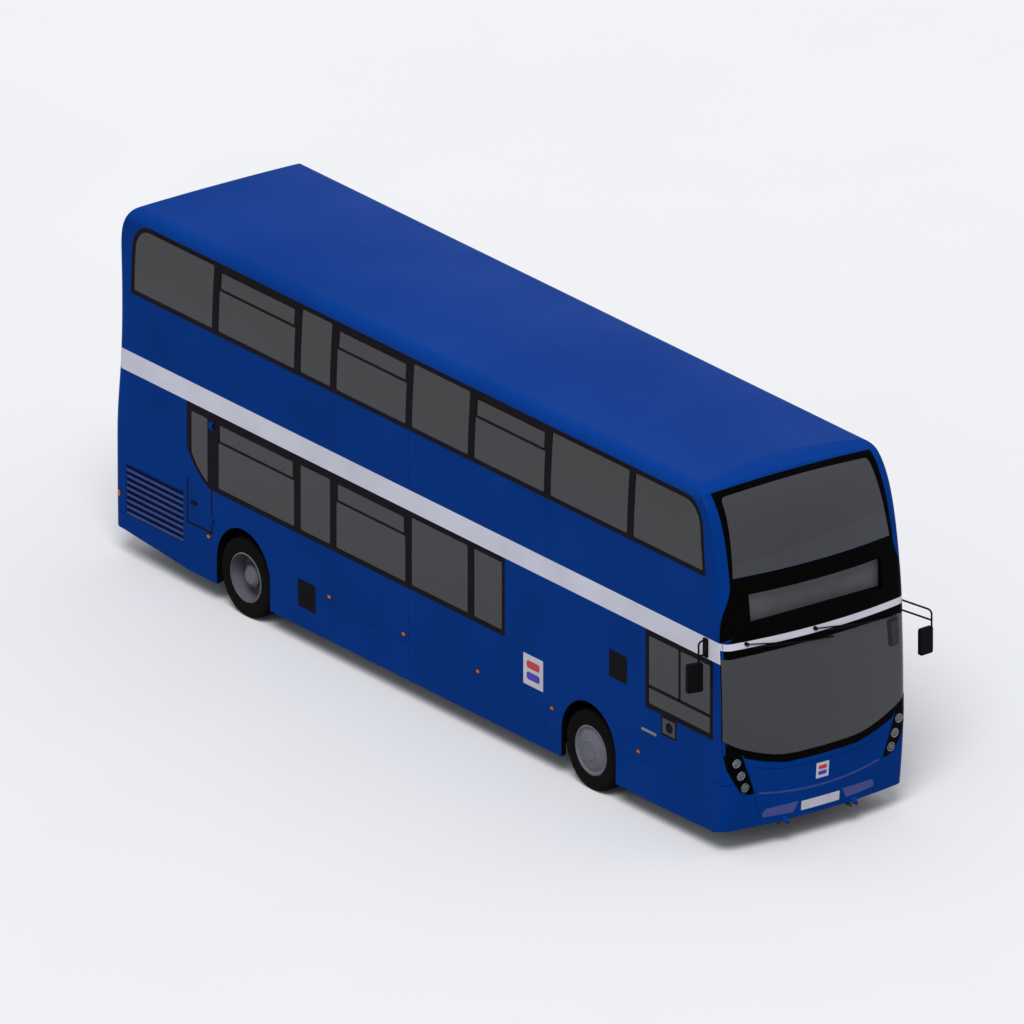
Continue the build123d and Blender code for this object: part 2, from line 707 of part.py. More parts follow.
# ------------------------------------------------------------ emergency door
e_x0, e_x1 = door_panel_x(SHUT_GAP)
E_GLASS = pane(e_door_rear + 84, e_door_front - 88, LOW_SILL_Z, LOW_HOPPER_HEAD_Z)
e_door = block(e_x0, e_x1, -half, -half + WALL, E_DOOR_SILL_Z + SHUT_GAP, E_DOOR_TOP_Z - SHUT_GAP)
e_door -= opening(E_GLASS, -FAR, 0)
e_hinge_x = e_door_front + 5
e_hinge_y = -half - 12
for z in (980, 2150):
    barrel, pin = hinge(e_hinge_x, e_hinge_y, z, "Z")
    reach = HINGE_BARREL_L / 2
    strap = block(e_x1 - 40, e_hinge_x, e_hinge_y - 7, -half - SEAT_GAP, z - reach, z + reach)
    strap += block(e_x1 - 40, e_x1, e_hinge_y - 7, -half + 2, z - reach, z + reach)
    e_door += strap - rod_z(e_hinge_x, e_hinge_y, HINGE_PIN_R + 2, z - 99, z + 99)
    e_door += barrel
    low_offside_panel += pin
    for s in (1, -1):
        z0, z1 = sorted((z + s * (reach + HINGE_GAP), z + s * (reach + HINGE_GAP + HINGE_LUG_T)))
        low_offside_panel += block(e_hinge_x, e_hinge_x + 34, e_hinge_y - 7, -half + 2, z0, z1)
save("emergency_door", e_door)
save("lower_offside_panel", low_offside_panel)
save("emergency_door_glass", glazing(E_GLASS, -FAR, 0))

# ------------------------------------------------------------ entrance door
# Each leaf rides on two swing arms, above and below it. The arm is half as long as the
# line from the jamb pivot to the leaf's far end, so the leaf slides in along its jamb.
ARM_T = 14
ARM_GAP = 6
ARM_W = 30
PIN_R = 10
leaf_y = half - WALL / 2
pivot_front = doorway_front - LEAF_T / 2 - LEAF_CLEAR
pivot_rear = doorway_rear + LEAF_T / 2 + LEAF_CLEAR
LEAF_MEETING = 12
leaf_reach = (pivot_front - pivot_rear - LEAF_MEETING) / 2
arm_len = leaf_reach / 2
leaf_tail = 10             # leaf beyond its pivot line, towards the jamb
leaf_z0 = LOW_FLOOR_Z + ARM_T + 2 * ARM_GAP
leaf_z1 = DOORWAY_TOP_Z - ARM_T - 2 * ARM_GAP
LEAF_FRAME = 55
for name, pivot, sign in (("front", pivot_front, -1), ("rear", pivot_rear, 1)):
    near = pivot - sign * leaf_tail
    far = pivot + sign * leaf_reach
    x0, x1 = min(near, far), max(near, far)
    middle = pivot + sign * arm_len
    leaf = block(x0, x1, leaf_y - LEAF_T / 2, leaf_y + LEAF_T / 2, leaf_z0, leaf_z1)
    light = [
        (x0 + LEAF_FRAME, leaf_z0 + 110),
        (x1 - LEAF_FRAME, leaf_z0 + 110),
        (x1 - LEAF_FRAME, leaf_z1 - 70),
        (x0 + LEAF_FRAME, leaf_z1 - 70),
    ]
    leaf -= across(rounded(light, 40), leaf_y - 50, leaf_y + 50)
    pane_solid = across(offset(rounded(light, 40), -SEAT_GAP), leaf_y + 4, leaf_y + 4 + GLASS_T)
    leaf -= rod_z(middle, leaf_y, PIN_R + PIN_GAP, leaf_z0 - 1, leaf_z0 + 30)
    leaf -= rod_z(middle, leaf_y, PIN_R + PIN_GAP, leaf_z1 - 30, leaf_z1 + 1)
    arms = []
    for arm_z0, leaf_end, wall_end in (
        (LOW_FLOOR_Z + ARM_GAP, leaf_z0 + 28, LOW_FLOOR_Z + SEAT_GAP),
        (DOORWAY_TOP_Z - ARM_GAP - ARM_T, leaf_z1 - 28, DOORWAY_TOP_Z - SEAT_GAP),
    ):
        arm_z1 = arm_z0 + ARM_T
        bar = block(min(pivot, middle), max(pivot, middle), leaf_y - ARM_W / 2, leaf_y + ARM_W / 2, arm_z0, arm_z1)
        bar += rod_z(pivot, leaf_y, ARM_W / 2, arm_z0, arm_z1) + rod_z(middle, leaf_y, ARM_W / 2, arm_z0, arm_z1)
        bar += rod_z(middle, leaf_y, PIN_R, min(arm_z0, leaf_end), max(arm_z1, leaf_end))
        bar += rod_z(pivot, leaf_y, PIN_R + 2, min(arm_z0, wall_end), max(arm_z1, wall_end))
        arms.append(bar)
    save(f"entrance_{name}_leaf", leaf)
    save(f"entrance_{name}_glass", pane_solid)
    save(f"entrance_{name}_arms", *arms)

# ------------------------------------------------------------ floors and wheel boxes
BOX_T = 20
FRONT_BOX_Y = half - 835
REAR_BOX_Y = half - 675
FRONT_BOX_L = 640
REAR_BOX_L = 560
BOX_TOP_Z = 1130


def wheel_box(axle_x, length_half, y_in, z0, grow=0.0):
    """Solid outline of a wheel box, open side at the body wall, from its foot z0."""
    return block(
        axle_x - length_half - grow, axle_x + length_half + grow,
        y_in - grow, half - WALL - SEAT_GAP + grow, z0, BOX_TOP_Z + grow,
    )


front_box = wheel_box(front_axle, FRONT_BOX_L, FRONT_BOX_Y, HUMP_FLOOR_Z - FLOOR_T)
front_box -= block(
    front_axle - FRONT_BOX_L + BOX_T, front_axle + FRONT_BOX_L - BOX_T, FRONT_BOX_Y + BOX_T, FAR, 0, BOX_TOP_Z - BOX_T
)
rear_box = wheel_box(rear_axle, REAR_BOX_L, REAR_BOX_Y, REAR_FLOOR_Z - FLOOR_T)
rear_box -= block(
    rear_axle - REAR_BOX_L + BOX_T, rear_axle + REAR_BOX_L - BOX_T, REAR_BOX_Y + BOX_T, FAR, 0, BOX_TOP_Z - BOX_T
)
save("wheel_boxes", *both(front_box), *both(rear_box))

hump_x = FRONT_BOX_L + 60
nose_floor_x = front_axle + 2380
floor_profile = polygon(
    (step_x, LOW_FLOOR_Z - FLOOR_T),
    (front_axle - hump_x, LOW_FLOOR_Z - FLOOR_T),
    (front_axle - hump_x + 80, HUMP_FLOOR_Z - FLOOR_T),
    (front_axle + hump_x - 80, HUMP_FLOOR_Z - FLOOR_T),
    (front_axle + hump_x, LOW_FLOOR_Z - FLOOR_T),
    (nose_floor_x, LOW_FLOOR_Z - FLOOR_T),
    (nose_floor_x, 1060),
    (nose_floor_x - 40, 1060),
    (nose_floor_x - 40, LOW_FLOOR_Z),
    (front_axle + hump_x, LOW_FLOOR_Z),
    (front_axle + hump_x - 80, HUMP_FLOOR_Z),
    (front_axle - hump_x + 80, HUMP_FLOOR_Z),
    (front_axle - hump_x, LOW_FLOOR_Z),
    (step_x, LOW_FLOOR_Z),
)
lower_floor = across(floor_profile, -FAR, FAR)
lower_floor = between(lower_floor, room)
for s in (1, -1):
    box = wheel_box(front_axle, FRONT_BOX_L, FRONT_BOX_Y, 0, SEAT_GAP)
    lower_floor -= box if s > 0 else mirror(box, about=Plane.XZ)
lower_floor -= block(doorway_rear - 1, doorway_front + 1, half - WALL - 2, FAR, 0, LOW_FLOOR_Z + 1)
# The doorway's sill, part of the floor, reaches the outside.
sill = block(
    doorway_rear + SEAT_GAP, doorway_front - SEAT_GAP, half - WALL - 10, half - 4,
    LOW_FLOOR_Z - FLOOR_T + SEAT_GAP, LOW_FLOOR_Z,
)
lower_floor = lower_floor + sill
save("lower_floor", lower_floor)

rear_profile = polygon(
    (step_x - SEAT_GAP, LOW_FLOOR_Z - FLOOR_T),
    (step_x - SEAT_GAP, REAR_FLOOR_Z),
    (bulkhead_x, REAR_FLOOR_Z),
    (bulkhead_x, UP_FLOOR_Z - UP_FLOOR_T - SEAT_GAP),
    (bulkhead_x - 40, UP_FLOOR_Z - UP_FLOOR_T - SEAT_GAP),
    (bulkhead_x - 40, REAR_FLOOR_Z - FLOOR_T),
    (step_x - SEAT_GAP - 40, REAR_FLOOR_Z - FLOOR_T),
    (step_x - SEAT_GAP - 40, LOW_FLOOR_Z - FLOOR_T),
)
rear_platform = between(across(rear_profile, -FAR, FAR), room)
for s in (1, -1):
    box = wheel_box(rear_axle, REAR_BOX_L, REAR_BOX_Y, 0, SEAT_GAP)
    rear_platform -= box if s > 0 else mirror(box, about=Plane.XZ)
# Two steps up the gangway to the rear seats.
GANGWAY_HALF = 260
STEP_GOING = 280
step_rise = (REAR_FLOOR_Z - LOW_FLOOR_Z) / 3
rear_platform -= block(step_x - 2 * STEP_GOING, step_x + 1, -GANGWAY_HALF, GANGWAY_HALF, LOW_FLOOR_Z, REAR_FLOOR_Z + 1)
steps = polygon(
    (step_x - SEAT_GAP, LOW_FLOOR_Z),
    (step_x - SEAT_GAP, LOW_FLOOR_Z + step_rise),
    (step_x - STEP_GOING, LOW_FLOOR_Z + step_rise),
    (step_x - STEP_GOING, LOW_FLOOR_Z + 2 * step_rise),
    (step_x - 2 * STEP_GOING - 20, LOW_FLOOR_Z + 2 * step_rise),
    (step_x - 2 * STEP_GOING - 20, LOW_FLOOR_Z + 2 * step_rise - 40),
    (step_x - STEP_GOING - 40, LOW_FLOOR_Z + 2 * step_rise - 40),
    (step_x - STEP_GOING - 40, LOW_FLOOR_Z + step_rise - 40),
    (step_x - SEAT_GAP - 40, LOW_FLOOR_Z + step_rise - 40),
    (step_x - SEAT_GAP - 40, LOW_FLOOR_Z),
)
riser = block(
    step_x - 2 * STEP_GOING - 40, step_x - 2 * STEP_GOING, -GANGWAY_HALF - 1, GANGWAY_HALF + 1,
    LOW_FLOOR_Z + 2 * step_rise - 40, REAR_FLOOR_Z,
)
rear_platform = rear_platform + across(steps, -GANGWAY_HALF - 1, GANGWAY_HALF + 1) + riser
for s in (1, -1):
    rear_platform += block(
        step_x - 2 * STEP_GOING - 40, step_x - SEAT_GAP, s * GANGWAY_HALF, s * (GANGWAY_HALF + 30),
        LOW_FLOOR_Z, REAR_FLOOR_Z - 1,
    )
save("rear_platform", rear_platform)

# Stairs rise towards the front, along the offside, behind the cab.
RISERS = 9
GOING = 235
stair_top_x = front_axle + 150
stair_y0 = -half + WALL + SEAT_GAP
stair_y1 = stair_y0 + 640
rise = (UP_FLOOR_Z - LOW_FLOOR_Z) / RISERS
stair_foot_x = stair_top_x - (RISERS - 1) * GOING
stair_points = [(stair_foot_x, LOW_FLOOR_Z + SEAT_GAP)]
for i in range(RISERS - 1):
    stair_points.append((stair_foot_x + i * GOING, LOW_FLOOR_Z + (i + 1) * rise))
    stair_points.append((stair_foot_x + (i + 1) * GOING, LOW_FLOOR_Z + (i + 1) * rise))
stair_points.append((stair_top_x, UP_FLOOR_Z - UP_FLOOR_T - 1))
under = [(stair_top_x, LOW_FLOOR_Z + (RISERS - 1) * rise - 60), (stair_foot_x + 90, LOW_FLOOR_Z + SEAT_GAP)]
stairs = across(polygon(*stair_points, *under), stair_y0, stair_y1)
panel_face = polygon(
    (stair_foot_x, LOW_FLOOR_Z + SEAT_GAP),
    (stair_foot_x, LOW_FLOOR_Z + 900),
    (stair_top_x, UP_FLOOR_Z - UP_FLOOR_T - SEAT_GAP),
    (stair_top_x, LOW_FLOOR_Z + (RISERS - 1) * rise - 60),
    (stair_foot_x + 90, LOW_FLOOR_Z + SEAT_GAP),
)
stairs += across(panel_face, stair_y1 - 1, stair_y1 + 25)
save("stairs", stairs)

well_x0 = stair_foot_x + 250
well_y1 = stair_y1 + 30
upper_floor = between(
    block(tail - MARGIN, display_x - 100, -FAR, FAR, UP_FLOOR_Z - UP_FLOOR_T, UP_FLOOR_Z), room
)
upper_floor -= block(well_x0, stair_top_x + SEAT_GAP, -FAR, well_y1, 0, HEIGHT)
save("upper_floor", upper_floor)

# ------------------------------------------------------------ chassis
RAIL_W = 70
beam_clear_x = 560
rail_points = [
    (front_axle + 2280, 215),
    (front_axle + 2280, LOW_FLOOR_Z - FLOOR_T - SEAT_GAP),
    (front_axle + hump_x - 2, LOW_FLOOR_Z - FLOOR_T - SEAT_GAP),
    (front_axle + hump_x - 82, HUMP_FLOOR_Z - FLOOR_T - SEAT_GAP),
    (front_axle - hump_x + 82, HUMP_FLOOR_Z - FLOOR_T - SEAT_GAP),
    (front_axle - hump_x + 2, LOW_FLOOR_Z - FLOOR_T - SEAT_GAP),
    (step_x - 46, LOW_FLOOR_Z - FLOOR_T - SEAT_GAP),
    (step_x - 520, REAR_FLOOR_Z - FLOOR_T - SEAT_GAP),
    (bulkhead_x - 40, REAR_FLOOR_Z - FLOOR_T - SEAT_GAP),
    (bulkhead_x - 40, 520),
    (tail + 110, 520),
    (tail + 110, 420),
    (bulkhead_x + 120, 420),
    (bulkhead_x + 120, REAR_FLOOR_Z - FLOOR_T - 110),
    (step_x - 470, REAR_FLOOR_Z - FLOOR_T - 110),
    (step_x - 60, 215),
    (front_axle - beam_clear_x - 60, 215),
    (front_axle - beam_clear_x + 20, 280),
    (front_axle + beam_clear_x - 20, 280),
    (front_axle + beam_clear_x + 60, 215),
]
rail = across(polygon(*rail_points), RAIL_Y - RAIL_W / 2, RAIL_Y + RAIL_W / 2)
frame = rail + mirror(rail, about=Plane.XZ)
for x in (front_axle + 2235, front_axle + 900, front_axle - 900, front_axle - 2400, front_axle - 3900, step_x + 140):
    frame += block(x - 35, x + 35, -RAIL_Y, RAIL_Y, 222, LOW_FLOOR_Z - FLOOR_T - 6)
for x in (rear_axle + 560, rear_axle - 520):
    frame += block(x - 35, x + 35, -RAIL_Y, RAIL_Y, REAR_FLOOR_Z - FLOOR_T - 100, REAR_FLOOR_Z - FLOOR_T - 6)
for x in (bulkhead_x + 60, tail + 150):
    frame += block(x - 35, x + 35, -RAIL_Y, RAIL_Y, 428, 512)
# Outriggers carry the side panels and the jacking pads.
outriggers = [front_axle + 980, front_axle - 1000, front_axle - 2500, front_axle - 4000]
for x in outriggers:
    for s in (1, -1):
        frame += block(
            x - 40, x + 40, s * RAIL_Y, s * (half - WALL - SEAT_GAP), 225, LOW_FLOOR_Z - FLOOR_T - SEAT_GAP
        )
for s in (1, -1):
    frame += block(
        bulkhead_x + 20, bulkhead_x + 100, s * RAIL_Y, s * (half - WALL - SEAT_GAP), 424, 508
    )
# Front towers, ahead of and behind the axle beam, over the air springs.
BAG_R = 105
BAG_Y = half - 665
BAG_Z0 = 420
BAG_Z1 = 660
TOWER_Y = half - 805
for s in (1, -1):
    for t in (1, -1):
        x0, x1 = front_axle + t * 70, front_axle + t * 100
        frame += block(x0, x1, s * (RAIL_Y + 30), s * (TOWER_Y + 25), 284, HUMP_FLOOR_Z - FLOOR_T - 4)
        frame += block(x0, x1, s * TOWER_Y, s * (TOWER_Y + 25), 284, BAG_Z1 + 30)
    frame += block(
        front_axle - 110, front_axle + 110, s * TOWER_Y, s * (BAG_Y + 95), BAG_Z1 + SEAT_GAP, BAG_Z1 + 30
    )
JACK_R = 45
JACK_Y = half - 175
for x in (outriggers[0], outriggers[3]):
    for s in (1, -1):
        frame += rod_z(x, s * JACK_Y, JACK_R, 205, 230)
# Tow sockets in the front and rear cross members.
TOW_R = 20
TOW_L = 90
front_socket_x = front_axle + 2280
frame += rod_x(RAIL_Y, FRONT_TOW_Z, 34, front_socket_x - 60, front_socket_x + 40)
frame -= rod_x(RAIL_Y, FRONT_TOW_Z, TOW_R, front_socket_x + 40 - TOW_L, front_socket_x + 41)
frame += rod_x(RAIL_Y, REAR_TOW_Z, 34, tail + 80, tail + 200)
frame -= rod_x(RAIL_Y, REAR_TOW_Z, TOW_R, tail + 79, tail + 80 + TOW_L)
# Two brackets forward to the front hatch's hinge pins.
for y, pin in zip((-HATCH_HINGE_Y, HATCH_HINGE_Y), hatch_pins):
    frame = frame + pin
    frame += block(front_axle + 2200, front_axle + 2270, y - 60, y + 60, 226, 284)
    for s in (1, -1):
        lug = HINGE_BARREL_L / 2 + HINGE_GAP
        y0, y1 = sorted((y + s * lug, y + s * (lug + HINGE_LUG_T)))
        frame += block(front_axle + 2230, hatch_hinge_x + 6, y0, y1, 240, HATCH_HINGE_Z - 2)
        frame += block(hatch_hinge_x - 9, hatch_hinge_x + 6, y0, y1, 240, HATCH_HINGE_Z)
save("chassis_frame", frame)

# Air springs: two on the front beam, two on the rear axle.
REAR_BAG_Y = RAIL_Y + 120
rear_bag_z0 = axle_z + 102
rear_bag_z1 = REAR_FLOOR_Z - FLOOR_T - SEAT_GAP
springs = []
for s in (1, -1):
    springs.append(rod_z(front_axle, s * BAG_Y, BAG_R, BAG_Z0 + SEAT_GAP, BAG_Z1))
    springs.append(rod_z(rear_axle, s * REAR_BAG_Y, 76, rear_bag_z0, rear_bag_z1))
save("air_springs", *springs)

# Engine: one plain block behind the rear bulkhead.
ENGINE = (tail + 250, bulkhead_x - 60, 715 - half, half - 415, 520 + SEAT_GAP, 1500)
engine = block(*ENGINE)
engine = chamfer(engine.edges().filter_by(Axis.X), 60)
save("engine_block", engine)

# ------------------------------------------------------------ front axle, knuckles and steering
KING_Y = half - 325
KING_R = 22
BOSS_R = 38
BOSS_Z0 = axle_z - 68
BOSS_Z1 = axle_z + 68
BEAM_HALF_X = 55
beam_side = [
    (BAG_Y - 50, 175), (BAG_Y + 110, 330), (KING_Y, axle_z - 62), (KING_Y, axle_z + 62),
    (KING_Y - 90, axle_z + 62), (BAG_Y + 105, BAG_Z0), (BAG_Y - 105, BAG_Z0), (BAG_Y - 132, 262),
]
beam_face = polygon(*beam_side, *[(-y, z) for y, z in beam_side[::-1]])
beam = along(beam_face, front_axle - BEAM_HALF_X, front_axle + BEAM_HALF_X)
for s in (1, -1):
    beam -= block(front_axle - 80, front_axle + 80, s * (KING_Y - 105), s * (KING_Y + 90), 100, 900)
    beam += block(
        front_axle - 32, front_axle + 32, s * (KING_Y - 110), s * KING_Y, axle_z - 60, axle_z + 60
    )
    beam += rod_z(front_axle, s * KING_Y, BOSS_R, BOSS_Z0, BOSS_Z1)
    beam -= rod_z(front_axle, s * KING_Y, KING_R + PIN_GAP, BOSS_Z0 - 1, BOSS_Z1 + 1)
save("front_axle_beam", beam)

EAR_T = 34
EAR_GAP = 5
SPINDLE_R = 45
wheel_y = half - WHEEL_INSET - TYRE_W / 2
spindle_end = half - 75
arm_x = front_axle - STEER_LIMIT_ARM
EYE_R = 24
ROD_R = 15
ROD_Z = 222
knuckle = rod_z(front_axle, KING_Y, KING_R, BOSS_Z0 - EAR_GAP - EAR_T, BOSS_Z1 + EAR_GAP + EAR_T)
for z0 in (BOSS_Z0 - EAR_GAP - EAR_T, BOSS_Z1 + EAR_GAP):
    knuckle += rod_z(front_axle, KING_Y, BOSS_R, z0, z0 + EAR_T)
    knuckle += block(front_axle - BOSS_R, front_axle + BOSS_R, KING_Y, KING_Y + 75, z0, z0 + EAR_T)
knuckle += block(
    front_axle - BOSS_R, front_axle + BOSS_R, KING_Y + BOSS_R + 8, KING_Y + 80,
    BOSS_Z0 - EAR_GAP - EAR_T, BOSS_Z1 + EAR_GAP + EAR_T,
)
knuckle += rod_y(front_axle, axle_z, SPINDLE_R, KING_Y + 60, spindle_end)
arm_z0 = BOSS_Z0 - EAR_GAP - EAR_T
knuckle += block(arm_x - 18, front_axle, KING_Y - 15, KING_Y + 15, arm_z0, arm_z0 + 28)
knuckle += rod_z(arm_x, KING_Y, 18, ROD_Z + ROD_R + 7, arm_z0 + 28)
knuckle += rod_z(arm_x, KING_Y, PIN_R, ROD_Z - ROD_R - 2, ROD_Z + ROD_R + 8)
save("nearside_knuckle", knuckle)
save("offside_knuckle", mirror(knuckle, about=Plane.XZ))

tie_y = KING_Y
tie = rod_y(arm_x, ROD_Z, ROD_R, -tie_y + EYE_R - 4, tie_y - EYE_R + 4)
for s in (1, -1):
    tie += rod_z(arm_x, s * tie_y, EYE_R, ROD_Z - ROD_R - 2, ROD_Z + ROD_R + 2)
for s in (1, -1):
    tie -= rod_z(arm_x, s * tie_y, PIN_R + PIN_GAP, ROD_Z - ROD_R - 3, ROD_Z + ROD_R + 3)
save("tie_rod", tie)

# ------------------------------------------------------------ wheels
def turned(points, axle_x):
    """Revolve an outline of (radius, y) points about the axle line."""
    face = polygon(*points)
    solid = revolve(Plane.XY * face, Axis.Y, 360)
    return Pos(axle_x, 0, axle_z) * solid


def tyre(axle_x, y_in, y_out):
    shoulder, side = 40, 12
    outline = [
        (RIM_R + SEAT_GAP, y_in + side),
        (RIM_R + 60, y_in),
        (TYRE_R - 90, y_in),
        (TYRE_R - shoulder + 15, y_in + side),
        (TYRE_R, y_in + shoulder),
        (TYRE_R, y_out - shoulder),
        (TYRE_R - shoulder + 15, y_out - side),
        (TYRE_R - 90, y_out),
        (RIM_R + 60, y_out),
        (RIM_R + SEAT_GAP, y_out - side),
    ]
    return turned(outline, axle_x)


HUB_R = 95
HUB_BORE_R = SPINDLE_R + PIN_GAP
t_in, t_out = wheel_y - TYRE_W / 2, wheel_y + TYRE_W / 2
RIM_T = 14
front_rim = turned(
    [
        (RIM_R, t_in + 18),
        (RIM_R, t_out - 8),
        (RIM_R - RIM_T, t_out - 2),
        (RIM_R - 45, t_out - 26),
        (200, t_out - 2),
        (140, t_out + 12),
        (120, t_out + 22),
        (0.01, t_out + 22),
        (0.01, spindle_end + 5),
        (HUB_BORE_R, spindle_end + 5),
        (HUB_BORE_R, KING_Y + 88),
        (HUB_R, KING_Y + 88),
        (HUB_R, t_out - 40),
        (140, t_out - 10),
        (200, t_out - 22),
        (RIM_R - 45, t_out - 46),
        (RIM_R - RIM_T, t_out - 40),
        (RIM_R - RIM_T, t_in + 18),
    ],
    front_axle,
)
save("front_nearside_rim", front_rim)
save("front_offside_rim", mirror(front_rim, about=Plane.XZ))
save("front_nearside_tyre", tyre(front_axle, t_in, t_out))
save("front_offside_tyre", mirror(tyre(front_axle, t_in, t_out), about=Plane.XZ))

inner_out = t_in - TWIN_GAP
inner_in = inner_out - TYRE_W
AXLE_R = 60
axle_end = t_out - 100
rear_rim = turned(
    [
        (RIM_R, inner_in + 18),
        (RIM_R, t_out - 8),
        (RIM_R - RIM_T, t_out - 2),
        (RIM_R - RIM_T - 10, t_in + 60),
        (RIM_R - 50, t_in + 20),
        (HUB_R + 45, t_in + 10),
        (HUB_R + 30, t_out - 95),
        (HUB_R - 10, t_out - 62),
        (0.01, t_out - 62),
        (0.01, axle_end + 5),
        (AXLE_R + PIN_GAP, axle_end + 5),
        (AXLE_R + PIN_GAP, inner_out - 40),
        (HUB_R + 20, inner_out - 40),
        (HUB_R + 30, inner_out - 10),
        (RIM_R - 50, inner_out),
        (RIM_R - RIM_T, inner_out - 40),
        (RIM_R - RIM_T, inner_in + 18),
    ],
    rear_axle,
)
save("rear_nearside_rim", rear_rim)
save("rear_offside_rim", mirror(rear_rim, about=Plane.XZ))
twin = [tyre(rear_axle, t_in, t_out), tyre(rear_axle, inner_in, inner_out)]
save("rear_nearside_tyres", *twin)
save("rear_offside_tyres", *[mirror(t, about=Plane.XZ) for t in twin])

HOUSING_R = 100
DIFF_R = 165
rear_axle_solid = rod_y(rear_axle, axle_z, HOUSING_R, -inner_in + 30, inner_in - 30)
rear_axle_solid += rod_y(rear_axle, axle_z, AXLE_R, -axle_end, axle_end)
rear_axle_solid += rod_y(rear_axle, axle_z, DIFF_R, -130, 130)
rear_axle_solid += rod_x(0, axle_z, 75, rear_axle - 330, rear_axle)
for s in (1, -1):
    rear_axle_solid += block(
        rear_axle - 70, rear_axle + 70, s * (RAIL_Y + 40), s * (RAIL_Y + 200), axle_z + 60, rear_bag_z0 - SEAT_GAP
    )
save("rear_axle", rear_axle_solid)

# ------------------------------------------------------------ mirrors and wipers
TUBE_R = 11
MIRROR_DEPTH = 52
plate_x = front_axle + 2190


def mirror_head(x, y, z, width, height, turn):
    """Mirror housing, its glass side towards the rear."""
    head = Box(MIRROR_DEPTH, width, height)
    head = fillet(head.edges().filter_by(Axis.X), 28)
    head = fillet(head.faces().sort_by(Axis.X)[-1].edges(), 14)
    head -= Pos(-MIRROR_DEPTH / 2, 0, 0) * Box(8, width - 26, height - 26)
    return Pos(x, y, z) * Rot(0, 0, turn) * head


off_y = -half - 110
off_plate = block(plate_x - 38, plate_x + 38, -half - 26, -half - SEAT_GAP, 2330, 2552)
off_arm = bent_tube(
    [(plate_x, -half - 15, 2530), (plate_x, off_y, 2530), (plate_x, off_y, 2080)], 45, TUBE_R
)
off_arm += bent_tube([(plate_x, -half - 15, 2360), (plate_x, off_y + 5, 2360)], 0, TUBE_R)
off_head = mirror_head(plate_x, off_y - 58, 2112, 200, 346, -12)
off_mirror = off_plate + off_arm + off_head

near_x = nose + MIRROR_AHEAD - MIRROR_DEPTH / 2
near_y = half + 168
NEAR_TOP_Z = 2420
NEAR_LOW_Z = 2300
near_plate = block(plate_x - 38, plate_x + 38, half + SEAT_GAP, half + 26, 2275, 2480)
near_upper = bent_tube(
    [(plate_x, half + 15, NEAR_TOP_Z + 25), (near_x, near_y, NEAR_TOP_Z), (near_x, near_y, 1990)], 55, TUBE_R
)
near_lower = bent_tube([(plate_x, half + 15, NEAR_LOW_Z + 25), (near_x, near_y, NEAR_LOW_Z)], 0, TUBE_R)
near_head = mirror_head(near_x - 3, near_y - 80, 2070, 190, 320, 4)
near_mirror = near_plate + near_upper + near_head + near_lower
save("door_mirrors", off_mirror, near_mirror)

WIPER_Z = 2535
WIPER_REACH = 1150
proud = envelope(-SEAT_GAP)[0]
wipers = []


def wiper_x(y):
    """The front's surface in the band the wipers sweep, about 2.4 m above the ground."""
    return nose - 38 - y**2 / (2 * NOSE_BOW_R)


for pivot_y in (-1000, -98):
    middle_y = pivot_y + WIPER_REACH / 2
    cap = rod_x(pivot_y, WIPER_Z, 22, wiper_x(pivot_y) - 30, wiper_x(pivot_y) + 30) - proud
    arm = bent_tube(
        [(wiper_x(pivot_y) + 20, pivot_y, WIPER_Z), (wiper_x(middle_y) + 34, middle_y, WIPER_Z - 85)], 0, 8
    )
    blade_points = []
    for y, drop in ((middle_y - 420, 55), (middle_y, 98), (pivot_y + WIPER_REACH, 150)):
        blade_points.append((wiper_x(y) + 24, y, WIPER_Z - drop))
    blade = sweep(
        Plane(origin=blade_points[0], z_dir=Vector(*blade_points[1]) - Vector(*blade_points[0])) * Circle(9),
        Spline(*blade_points),
    )
    bridge = rod_x(middle_y, WIPER_Z - 92, 12, wiper_x(middle_y) + 20, wiper_x(middle_y) + 40)
    wipers.append(cap + arm + blade + bridge)
save("wipers", *wipers)

# ------------------------------------------------------------ inside
SEAT_W = 880
SEAT_D = 430
SEAT_H = 430
BACK_T = 80
BACK_H = 640
SEAT_PITCH = 760
gangway_y = half - WALL - 20 - SEAT_W


def double_seat(x, side, floor_z):
    """Two-place seat with its back edge at x; side is +1 for the nearside."""
    y0, y1 = sorted((side * gangway_y, side * (half - WALL - 12)))
    outline = rounded(
        [
            (x, floor_z + SEAT_H - 80),
            (x + SEAT_D, floor_z + SEAT_H - 90),
            (x + SEAT_D, floor_z + SEAT_H + 20),
            (x + BACK_T + 10, floor_z + SEAT_H),
            (x + BACK_T - 40, floor_z + SEAT_H + BACK_H),
            (x - 50, floor_z + SEAT_H + BACK_H),
        ],
        [20, 30, 35, 30, 25, 25],
    )
    seat = across(outline, y0, y1)
    leg_y = side * (gangway_y + 130)
    seat += block(x + 150, x + 250, leg_y - 30, leg_y + 30, floor_z + SEAT_GAP, floor_z + SEAT_H - 70)
    return seat


lower_seats = []
seat_x = front_axle - 3050
while seat_x > step_x + 350:
    lower_seats += [double_seat(seat_x, 1, LOW_FLOOR_Z), double_seat(seat_x, -1, LOW_FLOOR_Z)]
    seat_x -= SEAT_PITCH
for x in (step_x - 620, step_x - 620 - SEAT_PITCH):
    lower_seats += [double_seat(x, 1, REAR_FLOOR_Z), double_seat(x, -1, REAR_FLOOR_Z)]
save("lower_seats", *lower_seats)

